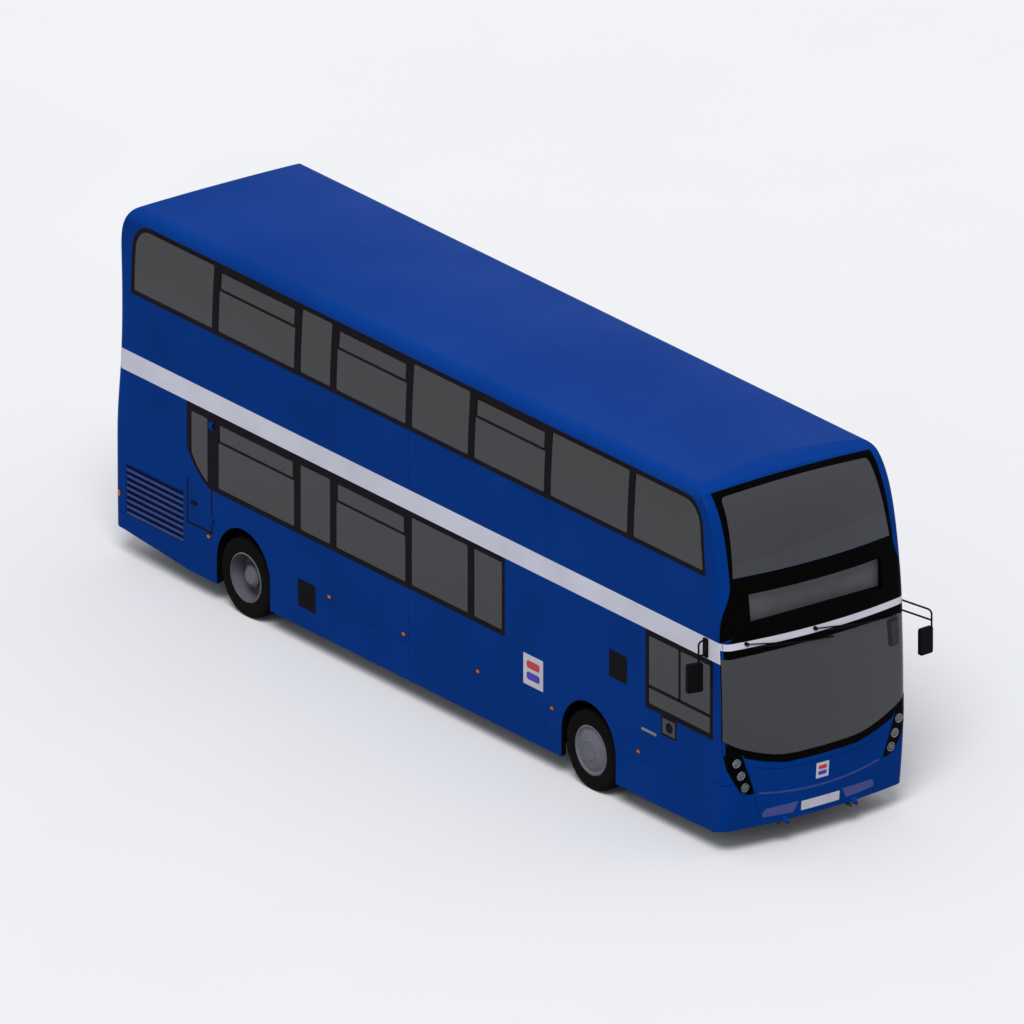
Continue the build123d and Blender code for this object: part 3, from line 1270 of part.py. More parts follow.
upper_seats = []
seat_x = front_axle + 1150
while seat_x > tail + 600:
    upper_seats.append(double_seat(seat_x, 1, UP_FLOOR_Z))
    if seat_x > stair_top_x + 100 or seat_x + SEAT_D + 60 < well_x0:
        upper_seats.append(double_seat(seat_x, -1, UP_FLOOR_Z))
    seat_x -= SEAT_PITCH
save("upper_seats", *upper_seats)

cab_y = -620
cab_floor_z = LOW_FLOOR_Z + 220
dash_x = front_axle + 2120
driver = block(front_axle + 1180, front_axle + 1660, cab_y - 230, cab_y + 230, cab_floor_z + 330, cab_floor_z + 430)
driver += block(front_axle + 1180, front_axle + 1280, cab_y - 220, cab_y + 220, cab_floor_z + 400, cab_floor_z + 1080)
driver = fillet(driver.edges().filter_by(Axis.Y), 30)
driver += rod_z(front_axle + 1420, cab_y, 90, cab_floor_z, cab_floor_z + 340)
driver += block(front_axle + 1110, dash_x - 150, -half + WALL + 1, cab_y + 350, LOW_FLOOR_Z + SEAT_GAP, cab_floor_z)
save("driver_seat", driver)

dash_face = rounded(
    [
        (dash_x - 120, 940),
        (dash_x + 60, 1010),
        (nose_floor_x - 40 - SEAT_GAP, 1040),
        (nose_floor_x - 40 - SEAT_GAP, 760),
        (dash_x, 700),
        (dash_x - 90, 840),
    ],
    [25, 30, 5, 5, 30, 30],
)
dashboard = across(dash_face, -half + WALL + 1, cab_y + 420)
column_foot = Vector(dash_x - 20, cab_y, 860)
column_top = Vector(dash_x - 260, cab_y, 1080)
dashboard += bent_tube([column_foot, column_top], 0, 28)
save("dashboard", dashboard)
column = (column_top - column_foot).normalized()
HUB_H = 26
wheel_plane = Plane(origin=column_top + column * (HUB_H / 2 + SEAT_GAP), z_dir=column)
hand_wheel = Torus(225, 15)
for a in (90, 210, 330):
    hand_wheel += Rot(0, 0, a) * Pos(112, 0, 0) * Box(226, 28, 12)
hand_wheel += Cylinder(48, HUB_H)
save("steering_wheel", wheel_plane * hand_wheel)

partition_x = front_axle + 1060
partition = block(partition_x - 30, partition_x, -half + WALL + 1, cab_y + 450, LOW_FLOOR_Z + SEAT_GAP, 2150)
partition += block(partition_x - 30, dash_x - 60, cab_y + 420, cab_y + 450, LOW_FLOOR_Z + SEAT_GAP, 1350)
save("cab_partition", partition)

POLE_R = 17
poles = []
low_head = UP_FLOOR_Z - UP_FLOOR_T - SEAT_GAP
for x in (front_axle + 780, front_axle - 780, front_axle - 2320, front_axle - 3380, front_axle - 4140, front_axle - 4900):
    for s in (1, -1):
        if s > 0 or x < stair_foot_x - 150:
            poles.append(rod_z(x, s * (gangway_y - 30), POLE_R, LOW_FLOOR_Z + SEAT_GAP, low_head))
for x in (front_axle + 700, front_axle - 1500, front_axle - 3020, front_axle - 5300, front_axle - 7580):
    poles.append(rod_z(x, gangway_y - 30, POLE_R, UP_FLOOR_Z + SEAT_GAP, HEIGHT - 85))
rail_z = UP_FLOOR_Z + 950
guard = bent_tube(
    [
        (well_x0 - 40, well_y1 + 30, UP_FLOOR_Z + SEAT_GAP),
        (well_x0 - 40, well_y1 + 30, rail_z),
        (stair_top_x - 60, well_y1 + 30, rail_z),
        (stair_top_x - 60, well_y1 + 30, UP_FLOOR_Z + SEAT_GAP),
    ],
    60,
    POLE_R,
)
poles.append(guard)
save("handrails", *poles)

print("nodes:", len(all_nodes))
print("overall length", length, "front axle", front_axle, "rear axle", rear_axle)
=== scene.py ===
"""Finish for a two-axle double-decker bus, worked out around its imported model.

Every new piece is a grid surface or a profile carried along a path. The bodywork's outside is a
function of two parameters, so bands, seals and trims lie on it wherever its sizes put it.
"""
import json
from math import cos, pi, radians, sin

import bmesh
import bpy
import numpy as np
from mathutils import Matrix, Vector


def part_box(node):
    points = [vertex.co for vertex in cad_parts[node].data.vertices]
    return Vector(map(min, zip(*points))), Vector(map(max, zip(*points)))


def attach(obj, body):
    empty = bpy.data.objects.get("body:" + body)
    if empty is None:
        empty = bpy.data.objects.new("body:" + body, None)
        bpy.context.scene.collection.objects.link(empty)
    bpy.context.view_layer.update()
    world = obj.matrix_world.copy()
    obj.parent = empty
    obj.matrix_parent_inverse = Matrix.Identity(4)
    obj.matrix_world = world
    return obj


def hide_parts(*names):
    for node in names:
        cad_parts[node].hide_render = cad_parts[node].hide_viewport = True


bl_info = {
    "name": "Double-decker bus finish",
    "version": (1, 0, 0),
    "blender": (4, 5, 0),
    "location": "3D View > Sidebar > Bus",
    "description": "Paint, glazing bands, lamps, tyres, seats and trim for a double-decker bus",
    "category": "Object",
}

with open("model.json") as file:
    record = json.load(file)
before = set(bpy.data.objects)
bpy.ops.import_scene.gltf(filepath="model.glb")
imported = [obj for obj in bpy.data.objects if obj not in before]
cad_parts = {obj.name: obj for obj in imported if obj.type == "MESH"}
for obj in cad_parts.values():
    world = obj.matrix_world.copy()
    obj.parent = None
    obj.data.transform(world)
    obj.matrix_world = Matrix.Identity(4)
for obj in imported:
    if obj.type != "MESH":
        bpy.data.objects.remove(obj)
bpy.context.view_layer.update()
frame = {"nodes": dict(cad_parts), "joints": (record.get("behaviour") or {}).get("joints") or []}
NODES = frame["nodes"]
JOINTS = {joint["name"]: joint for joint in frame["joints"]}

# ------------------------------------------------------------ sizes read from the frame
FRONT_AXLE, WHEEL_Y, AXLE_Z = JOINTS["front_nearside_spin"]["pos_m"]
REAR_AXLE = JOINTS["rear_nearside_spin"]["pos_m"][0]
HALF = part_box("lower_nearside_panel")[1].y
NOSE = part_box("front_lower_panel")[1].x
REAR_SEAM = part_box("lower_offside_panel")[0].x
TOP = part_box("roof")[1].z
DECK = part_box("upper_offside_panel")[0].z   # where lower and upper panels meet

# ------------------------------------------------------------ shape of the bodywork
LEAN_START = TOP - 1.240        # above this height the sides curve inwards
LEAN_R = 12.300
NOSE_BOW_R, NOSE_CORNER_R = 6.250, 0.130
TAIL_BOW_R, TAIL_CORNER_R = 24.000, 0.140
GLASS_INSET = 0.003
TINY = 0.0005                   # radius of a corner that is drawn sharp
PANE_R = 0.025                  # corners of a side pane
ARCH_R, ARCH_Z = 0.508, 0.562   # linings of the wheel arches: radius, and height of its centre
SKIRT_Z = 0.262                 # foot of the bodywork at the wheels
MASK_EDGE_Y = HALF - 0.004      # where the front's mask and bands end, round the corner
LAMP_R = 0.057                  # bore of the lamp housings
# Headlamps from the top down, and the foot of the windscreen: distances from the centreline and heights.
LAMPS = [(HALF - 0.138, 1.127), (HALF - 0.197, 0.965), (HALF - 0.251, 0.812)]
SCREEN_FOOT = [(0, 1.108), (HALF - 0.705, 1.131), (HALF - 0.215, 1.284), (HALF + 0.125, 1.480)]
EMERGENCY_REAR = REAR_AXLE - 1.075
EMERGENCY_FRONT = REAR_AXLE - 0.590
REAR_PANE = [HALF - 0.395, HALF - 0.435]    # half widths of the rear window, at its foot and head
# Tail lamps from the top down, with their colours and heights.
TAIL_LAMPS = [("amber", 1.560), ("red", 1.420), ("red", 1.280), ("clear", 1.140)]
# Mirror heads: centre, width, height, thickness and turn about the upright.
MIRROR_HEADS = [((FRONT_AXLE + 2.190, -1.443, 2.112), 0.200, 0.346, 0.052, -12),
                ((NOSE + 0.091, HALF + 0.088, 2.070), 0.190, 0.320, 0.052, 4)]
# Stations from the front axle: square vents with their feet and heads, marker lamps, and upright seams.
VENTS = [(-5.460, -5.132, 0.488, 0.819), (0.386, 0.717, 1.514, 1.845)]
MARKERS = [-7.16, -4.87, -3.465, -2.07, -0.68, 0.93]
SEAMS = [-4.784, -3.375, -0.789]
SEAM_ENDS = (0.255, 1.358), (DECK + 0.002, 3.275)   # foot and head on each deck
SKIRT_SEAM_Z = 0.695
LOWER_HEAD = 2.0                # a seat that starts below this is on the lower deck
TWIN_GAP = 0.030                # between the two tyres of a rear wheel
TWIN_INNER = 0.690              # from a side in to the seats over the rear tyres
WHEEL_BOX = 0.57                # half the length of a wheel box
HANDS = (("nearside", 1), ("offside", -1))
FORWARD, BACKWARD = (1, 0, 0), (-1, 0, 0)


def at(x):
    """A station measured from the front axle."""
    return FRONT_AXLE + x


# ------------------------------------------------------------ places of the fittings
# Boxes on a surface: from and to along or across, foot and head.
CHARGING_FLAP = at(1.353), at(1.635), 1.126, 1.357
SIDE_HANDLE = at(0.99), at(1.27), 1.062, 1.098
EMERGENCY_HANDLE = at(-7.50), at(-7.38), 1.075, 1.125
COVER_HANDLE = -0.09, 0.09, 0.865, 0.905
# Feet and heads.
FRONT_PLATE_Z = 0.368, 0.482
REAR_PLATE_Z, REAR_HOLDER_Z = (0.665, 0.775), (0.640, 0.800)
REFLECTOR_Z = 0.470, 0.505
# Middle, half width and half height of the badge plates.
FRONT_BADGE = 0.0, 0.812, 0.088, 0.094
SIDE_BADGE = at(-1.032), 1.1015, 0.184, 0.1855
# Heights, half widths and radii of single fittings.
MARKER_Z, CORNER_MARKER_Z = 0.776, 0.765
CAB_BAR_Z = 1.630
CREASE_Y, CREASE_Z, CREASE_RISE = 0.845, 0.632, 0.075   # the front hatch's crease, and its rise to the ends
COVER_LOUVRE_Y, LOUVRE_ROWS = 0.70, np.arange(1.000, 1.480, 0.046)
TAIL_LAMP_Y = HALF - 0.215
REAR_LINES_Z = 0.545, 1.90
NUT_CIRCLE_R, HUB_MARK_R = 0.1675, 0.115


# ============================================================ grids
def unit(vectors):
    """Vectors divided by their lengths."""
    return vectors / np.linalg.norm(vectors, axis=-1, keepdims=True)


def outline(corners, radii=TINY, per_arc=6, per_side=8):
    """A closed outline through the corners, each rounded by an arc of its radius: for each corner
    its arc, then the straight run to the next corner's arc."""
    here = np.array(corners, float)
    r = np.maximum(np.broadcast_to(radii, len(here)), TINY)[:, None]
    before, after = unit(np.roll(here, 1, 0) - here), unit(np.roll(here, -1, 0) - here)
    half_turn = np.arccos(np.sum(before * after, 1, keepdims=True)) / 2
    centre = here + unit(before + after) * r / np.sin(half_turn)
    first = here + before * r / np.tan(half_turn) - centre
    last = here + after * r / np.tan(half_turn) - centre
    turn = (pi - 2 * half_turn)[:, None]
    t = np.linspace(0, 1, per_arc + 1)[None, :, None]
    blend = np.sin((1 - t) * turn) * first[:, None] + np.sin(t * turn) * last[:, None]
    arcs = centre[:, None] + blend / np.sin(turn)
    u = np.linspace(0, 1, per_side + 1)[None, 1:-1, None]
    sides = arcs[:, -1:] + u * (np.roll(arcs, -1, 0)[:, :1] - arcs[:, -1:])
    return np.concatenate([arcs, sides], 1).reshape(-1, 2)


def box_outline(a0, a1, b0, b1, radii=TINY, inset=0.0):
    """A closed outline of a box, drawn in by an inset, with its corners rounded."""
    a0, a1, b0, b1 = a0 + inset, a1 - inset, b0 + inset, b1 - inset
    return outline([(a0, b0), (a1, b0), (a1, b1), (a0, b1)], radii)


def circle(a, b, radius, count=32, squash=1.0):
    """A round or oval outline; squash is its height over its width."""
    t = np.linspace(0, 2 * pi, count, endpoint=False)
    return np.stack([a + radius * np.cos(t), b + radius * squash * np.sin(t)], 1)


def toward(points, a, b, radius):
    """A circle whose points face those of an outline round it."""
    return np.array([a, b]) + radius * unit(points - np.array([a, b]))


def band(place, outer, inner, rise=0.0012, lip=0.004, sunk=0.001, steps=2):
    """A closed band between two outlines of equal counts on a surface: up from the outer edge,
    across in even steps, down over the inner edge and back underneath."""
    share = np.concatenate([[0], np.linspace(0, 1, steps + 1), [1], [0.5]])
    height = np.concatenate([[-sunk], np.full(steps + 1, rise), [rise - lip], [-max(sunk, lip - rise)]])
    flat = outer[None] + share[:, None, None] * (inner - outer)[None]
    return place(flat[..., 0], flat[..., 1], np.broadcast_to(height[:, None], flat.shape[:2])), True, True


def plate(place, edge, rise=0.002, crown=0.0, sunk=0.001, rings=4, soften=0.0):
    """A closed plate inside a star-shaped outline: rings drawn out from its middle to the edge,
    its height falling from the crown by the square of the share, then down its side."""
    middle = edge.mean(0)
    share = np.concatenate([[0], np.linspace(0, 1, rings + 1)[1:], [1, 0]])
    height = np.concatenate([rise + crown * (1 - np.linspace(0, 1, rings + 1) ** 2), [-sunk, -sunk]])
    height[rings] -= soften
    flat = middle + share[:, None, None] * (edge - middle)[None]
    return place(flat[..., 0], flat[..., 1], np.broadcast_to(height[:, None], flat.shape[:2])), False, True


def turned(profile, centre, axis, count=48):
    """An outline of (radius, distance along the axis) turned about the axis."""
    radius, along = np.array(profile, float).T
    t = np.linspace(0, 2 * pi, count, endpoint=False)
    axis = unit(np.array(axis, float))
    side = unit(np.cross(axis, (0, 0, 1) if abs(axis[2]) < 0.9 else (1, 0, 0)))
    other = np.cross(axis, side)
    ring = np.cos(t)[:, None] * side + np.sin(t)[:, None] * other
    return np.array(centre) + radius[:, None, None] * ring[None] + along[:, None, None] * axis, False, True


def turned_ring(profile, centre, axis, count=48):
    """A closed outline turned about the axis, as a ring with a hole."""
    return turned(profile, centre, axis, count)[:1] + (True, True)


def pipe(path, radius, count):
    """A round rod along a path that lies in a plane across the bus; its ends are drawn to a point."""
    path = np.array(path, float)
    ahead = unit(np.gradient(path, axis=0))
    across = unit(np.cross(ahead, FORWARD))
    over = np.cross(across, ahead)
    section = circle(0, 0, radius, count)
    body = path[:, None] + section[None, :, :1] * across[:, None] + section[None, :, 1:] * over[:, None]
    ends = [np.repeat(path[[i]][:, None], count, 1) for i in (0, -1)]
    return np.concatenate([ends[0], body, ends[1]], 0), False, True


def cushion(low, high, ex=0.25, crown=0.0, lean=0.0, rows=14, columns=20):
    """A crowned closed form in a box: a super-ellipsoid, whose powers set how square it is, its top
    raised most in the middle and its upper part leant back by the height."""
    low, high = np.array(low, float), np.array(high, float)
    middle, reach = (low + high) / 2, (high - low) / 2
    v = np.linspace(-pi / 2, pi / 2, rows)[:, None]
    u = np.linspace(0, 2 * pi, columns, endpoint=False)[None]
    power = lambda value, e: np.sign(value) * np.abs(value) ** e
    x = power(np.cos(v), ex) * power(np.cos(u), ex)
    y = power(np.cos(v), ex) * power(np.sin(u), ex)
    z = power(np.sin(v), ex) + 0 * u
    z = z + crown * (1 - x**2) * (1 - y**2) * np.sign(z) / reach[2]
    points = middle + np.stack([x * reach[0], y * reach[1], z * reach[2]], -1)
    points[..., 0] -= lean * (points[..., 2] - low[2])
    return points, False, True


def grid_faces(rows, columns, wrap_rows, wrap_columns):
    """Corner numbers of every face of a grid."""
    i = np.arange(rows if wrap_rows else rows - 1)[:, None]
    j = np.arange(columns if wrap_columns else columns - 1)[None]
    a, b = i * columns + j, i * columns + (j + 1) % columns
    over = ((i + 1) % rows) * columns
    return np.stack([a, b, over + (j + 1) % columns, over + j], -1).reshape(-1, 4)


def volume_of(points, faces):
    """Six times the volume inside a closed set of faces: negative where they point inwards."""
    p = points[faces]
    return np.sum(np.cross(p[:, 1] - p[:, 0], p[:, 3] - p[:, 0]) * p.mean(1))


def piece(name, sheets, material, body="body", slot=None, angle=35, smooth=True):
    """One object from several closed grids, each turned to face outwards, with its material. Its slot is looked up but
    not given to it. Points that coincide, as at a pole, are joined."""
    points, faces, count = [], [], 0
    for grid, wrap_rows, wrap_columns in sheets:
        flat = grid.reshape(-1, 3)
        quads = grid_faces(grid.shape[0], grid.shape[1], wrap_rows, wrap_columns)
        if volume_of(flat - flat.mean(0), quads) < 0:
            quads = quads[:, ::-1]
        points.append(flat)
        faces.append(quads + count)
        count += len(flat)
    mesh = bpy.data.meshes.new(name)
    points, faces = np.concatenate(points), np.concatenate(faces)
    mesh.vertices.add(len(points))
    mesh.vertices.foreach_set("co", points.astype(np.float32).ravel())
    mesh.loops.add(faces.size)
    mesh.loops.foreach_set("vertex_index", faces.astype(np.int32).ravel())
    mesh.polygons.add(len(faces))
    mesh.polygons.foreach_set("loop_start", np.arange(0, faces.size, 4, dtype=np.int32))
    mesh.update(calc_edges=True)
    build = bmesh.new()
    build.from_mesh(mesh)
    bmesh.ops.remove_doubles(build, verts=build.verts, dist=1e-6)
    build.to_mesh(mesh)
    build.free()
    mesh.validate()
    mesh.polygons.foreach_set("use_smooth", np.full(len(mesh.polygons), smooth))
    if smooth:
        mesh.set_sharp_from_angle(angle=radians(angle))
    made = bpy.data.objects.new(name, mesh)
    bpy.context.scene.collection.objects.link(made)
    mesh.materials.append(finish(material))
    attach(made, body)
    slot = slot or SLOT_OF[material]
    return made


# ============================================================ the body's outside as surfaces
def side(hand):
    """Points at (distance along, height, stand-off) on a side, hand 1 for the nearside: upright up to
    LEAN_START, then on an arc of LEAN_R."""
    def place(x, z, out=0.0):
        angle = np.arcsin(np.maximum(z - LEAN_START, 0) / LEAN_R)
        y = HALF - LEAN_R + (LEAN_R + out) * np.cos(angle)
        return np.stack(np.broadcast_arrays(x, hand * y, z + out * np.sin(angle)), -1)
    return place


def centreline(ahead, bow, rays):
    """Where level rays from one end first meet the named nodes: each ray set is (names, distance from
    the centreline, lowest and highest height). Gives heights and distances along, brought to the
    centreline by the bow."""
    depsgraph = bpy.context.evaluated_depsgraph_get()
    far, pitch = 20, 0.02
    met = []
    for names, y, low, high in rays:
        for z in np.linspace(low, high, max(2, int((high - low) / pitch))):
            reached = []
            for name in names:
                hit, where, normal, _ = NODES[name].ray_cast((far * ahead, y, z), (-ahead, 0, 0),
                                                             depsgraph=depsgraph)
                if hit:
                    inset = GLASS_INSET / abs(normal.x) if "window" in name else 0
                    reached.append(where.x * ahead + inset + bow - np.sqrt(bow**2 - y**2))
            if reached:
                met.append((z, max(reached)))
    return np.array(met).T


class End:
    """The nose or the tail: a plan outline of a bow and two round corners, carried up a centreline."""

    def __init__(self, ahead, bow, corner, rays):
        self.ahead, self.bow, self.corner = ahead, bow, corner
        self.turn = np.arcsin((HALF - corner) / (bow - corner))
        self.run = bow * self.turn                     # girth where the corner begins
        self.quarter = corner * (pi / 2 - self.turn)   # girth of the corner
        met = centreline(ahead, bow, rays)
        self.heights = np.linspace(0.2, TOP - 0.05, 500)
        rough = np.interp(self.heights, *met)
        reach = 4
        window = np.hanning(2 * reach + 1)
        window = window / window.sum()
        even = lambda line: np.convolve(np.pad(line, reach, mode="reflect", reflect_type="odd"), window, "valid")
        self.line = even(rough)
        self.slope = even(np.gradient(self.line, self.heights))

    def girth(self, y):
        """Distance round the plan outline from the centreline out to y."""
        far = np.abs(y)
        start = (self.bow - self.corner) * sin(self.turn)
        on_bow = self.bow * np.arcsin(np.minimum(far / self.bow, 1))
        on_corner = np.arcsin(np.clip((far - start) / self.corner, -1, 1))
        return np.sign(y) * np.where(on_bow < self.run, on_bow, self.run + self.corner * (on_corner - self.turn))

    def back_to(self, x, z):
        """Girth at which the flat side reaches a station along the bus."""
        corner_x = np.interp(z, self.heights, self.line) - self.bow + (self.bow - self.corner) * cos(self.turn)
        return self.run + self.quarter + corner_x - x * self.ahead

    def wrap(self, girth, z, out=0.0):
        """Points at (girth, height, stand-off)."""
        far, hand = np.abs(girth), np.where(girth < 0, -1.0, 1.0)
        on_bow = np.minimum(far, self.run) / self.bow
        angle = on_bow + np.clip((far - self.run) / self.corner, 0, pi / 2 - self.turn)
        past = np.maximum(far - self.run - self.quarter, 0)
        slope = np.interp(z, self.heights, self.slope)
        length = np.sqrt(1 + (np.cos(angle) * slope) ** 2)
        x = np.interp(z, self.heights, self.line) - self.bow + (self.bow - self.corner) * np.cos(on_bow)
        x = x + self.corner * np.cos(angle) - past + out * np.cos(angle) / length
        y = (self.bow - self.corner) * np.sin(on_bow) + self.corner * np.sin(angle) + out * np.sin(angle) / length
        z = z - out * np.cos(angle) * slope / length
        return np.stack(np.broadcast_arrays(self.ahead * x, hand * y, z), -1)

    def face(self, y, z, out=0.0):
        """Points at (distance across, height, stand-off)."""
        return self.wrap(self.girth(y), z, out)


SCREENS = ["windscreens_and_rear_window"]
nose = End(1, NOSE_BOW_R, NOSE_CORNER_R, [
    (["front_hatch", "front_lower_panel"], 0.0, 0.34, 1.09),
    (SCREENS, 0.0, 1.14, TOP - 1.96),
    (["front_lower_panel"], 0.0, TOP - 1.92, DECK - 0.01),
    (["front_upper_panel"], 1.02, DECK + 0.02, TOP - 1.10),
    (SCREENS, 0.0, TOP - 1.03, TOP - 0.16),
    (["front_upper_panel"], 0.0, TOP - 0.12, TOP - 0.05),
])
tail = End(-1, TAIL_BOW_R, TAIL_CORNER_R, [
    (["engine_cover", "rear_lower_panel"], 0.0, 0.38, DECK - 0.01),
    (["rear_upper_panel"], 0.97, DECK + 0.02, TOP - 1.05),
    (SCREENS, 0.0, TOP - 0.99, TOP - 0.31),
    (["rear_upper_panel", "roof"], 0.0, TOP - 0.27, TOP - 0.1),
])


# ============================================================ strips, lines and rows of panes
def run(points, count):
    """Evenly spaced points along straight runs."""
    points = np.array(points, float)
    reach = np.concatenate([[0], np.cumsum(np.linalg.norm(np.diff(points, axis=0), axis=1))])
    at = np.linspace(0, reach[-1], count)
    return np.stack([np.interp(at, reach, points[:, i]) for i in range(points.shape[1])], 1)


def level(x, z):
    """Points along a level line, at stations or distances across."""
    return np.stack([x, 0 * x + z], 1)


def upright(x, z):
    """Points at the heights z, at one station or at a station for each."""
    return np.stack([0 * z + x, z], 1)


def curve(points, count=32):
    """A smooth curve through the points, each stretch a cubic whose ends follow its neighbours."""
    p = np.array(points, float)
    p = np.concatenate([2 * p[:1] - p[1:2], p, 2 * p[-1:] - p[-2:-1]])
    at = np.linspace(0, len(p) - 3 - 1e-9, count)
    i = at.astype(int)
    t = (at - i)[:, None]
    a, b, c, d = p[i], p[i + 1], p[i + 2], p[i + 3]
    return 0.5 * (2 * b + (c - a) * t + (2 * a - 5 * b + 4 * c - d) * t**2 + (3 * b - a - 3 * c + d) * t**3)


def loop(*sides, count=24):
    """A closed outline from runs that meet end to end, each with the same count of points."""
    return np.concatenate([run(way, count + 1)[:-1] for way in sides])


def strip(place, one, other, rise=0.0012, sunk=0.001, steps=2, lip=0.0):
    """A closed strip on a surface between two edges of equal counts: up from the first edge, across
    in even steps and down at the other, which may reach lower by a lip; its ends come to a point."""
    share = np.concatenate([[0], np.linspace(0, 1, steps + 1), [1]])
    height = np.concatenate([[-sunk], np.full(steps + 1, rise), [-sunk - lip]])
    one, other = np.array(one, float), np.array(other, float)
    flat = one[None] + share[:, None, None] * (other - one)[None]
    grid = place(flat[..., 0], flat[..., 1], np.broadcast_to(height[:, None], flat.shape[:2]))
    ends = [np.repeat(grid[:, [i]].mean(0, keepdims=True), len(grid), 0) for i in (0, -1)]
    return np.concatenate([ends[0], grid, ends[1]], 1), True, False


def line(place, path, width, rise=0.0008, sunk=0.001, steps=1):
    """A narrow strip along a path on a surface, half its width to each side."""
    path = np.array(path, float)
    ahead = unit(np.gradient(path, axis=0))
    across = np.stack([-ahead[:, 1], ahead[:, 0]], 1) * width / 2
    return strip(place, path - across, path + across, rise, sunk, steps)


def corners_of(x0, x1, z0, z1, lean=0.0):
    """Four corners of a pane; lean moves the top front one back."""
    return [(x0, z0), (x1, z0), (x1 - lean, z1), (x0, z1)]


def pane_row(place, panes, first, last, foot, head, rear_radii=(TINY, PANE_R), front_radii=(TINY, PANE_R),
             leans=(0, 0)):
    """Bands round a row of panes, one cell each, meeting at the middles of the pillars. The row's upper
    corners have radii of their own and its front edge leans, each given for the cell and the pane."""
    sheets, gap = [], 0.0003
    middles = [(a[1][0] + b[0][0]) / 2 for a, b in zip(panes[:-1], panes[1:])]
    stops = [first, *middles, last]
    for n, (low, high) in enumerate(panes):
        final = n == len(panes) - 1
        boxes = [(stops[n], stops[n + 1], foot, head),
                 (low[0] - gap, high[0] + gap, low[2] - gap, high[2] + gap)]
        edges = []
        for box, radius, rear, front, lean in zip(boxes, (TINY, PANE_R), rear_radii, front_radii, leans):
            radii = [radius, radius, front if final else radius, rear if n == 0 else radius]
            edges.append(outline(corners_of(*box, lean if final else 0), radii))
        sheets.append(band(place, *edges, lip=0.0044))
    return sheets


def hopper(place, low, high, divider):
    """Frame of a pane whose top part opens: a sash inside the pane, wide at the head, above a divider."""
    inner = corners_of(low[0] + 0.027, high[0] - 0.027, divider, high[2] - 0.012)
    outer = corners_of(low[0] + 0.001, high[0] - 0.001, divider - 0.030, high[2])
    return band(place, outline(outer, 0.004), outline(inner, 0.012), rise=-0.0008, lip=0.003, sunk=0.0055)


def clusters(node, hand, gap=0.01):
    """Boxes of a node's separate shapes on one side, told apart by empty stretches along the bus, from
    the rear forwards."""
    mesh = NODES[node].data
    points = np.zeros(len(mesh.vertices) * 3, np.float32)
    mesh.vertices.foreach_get("co", points)
    corners = np.zeros(len(mesh.loops), np.int32)
    mesh.loops.foreach_get("vertex_index", corners)
    faces = points.reshape(-1, 3)[corners.reshape(-1, 3)].astype(float)
    faces = faces[faces[:, :, 1].mean(1) * hand >= 0]
    low, high = faces.min(1), faces.max(1)
    order = np.argsort(low[:, 0])
    reach = np.maximum.accumulate(high[order, 0])
    cuts = np.flatnonzero(low[order][1:, 0] > reach[:-1] + gap) + 1
    return [(low[group].min(0), high[group].max(0)) for group in np.split(order, cuts)]


# ============================================================ finishes
def srgb(red, green, blue):
    """A colour as it shows on a screen, 0 to 255, in linear light."""
    value = np.array([red, green, blue]) / 255
    return tuple(np.where(value <= 0.04045, value / 12.92, ((value + 0.055) / 1.055) ** 2.4)) + (1.0,)


def new_group(name, inputs, outputs):
    """An empty shader group with its sockets: (name, kind, default) inputs and (name, kind) outputs."""
    group = bpy.data.node_groups.new(name, "ShaderNodeTree")
    for label, kind, default in inputs:
        socket = group.interface.new_socket(label, in_out="INPUT", socket_type=kind)
        socket.default_value = default
    for label, kind in outputs:
        group.interface.new_socket(label, in_out="OUTPUT", socket_type=kind)
    return group, group.nodes.new("NodeGroupInput"), group.nodes.new("NodeGroupOutput")


def maths(tree, operation, *values):
    """A Math node fed with sockets or numbers; returns its output."""
    node = tree.nodes.new("ShaderNodeMath")
    node.operation = operation
    for n, value in enumerate(values):
        if isinstance(value, (int, float)):
            node.inputs[n].default_value = value
        else:
            tree.links.new(value, node.inputs[n])
    return node.outputs[0]


def mixed(tree, factor, a, b):
    """Two colours or colour sockets mixed by a factor; returns the mix's output."""
    node = tree.nodes.new("ShaderNodeMix")
    node.data_type = "RGBA"
    tree.links.new(factor, node.inputs["Factor"])
    for label, value in (("A", a), ("B", b)):
        if isinstance(value, tuple):
            node.inputs[label].default_value = value
        else:
            tree.links.new(value, node.inputs[label])
    return node.outputs["Result"]


def seen_rays(tree):
    """One for rays from the eye, off a glossy surface or through glass, nought for the rest."""
    rays = tree.nodes.new("ShaderNodeLightPath")
    seen = maths(tree, "MAXIMUM", rays.outputs["Is Camera Ray"], rays.outputs["Is Glossy Ray"])
    return maths(tree, "MAXIMUM", seen, rays.outputs["Is Transmission Ray"])


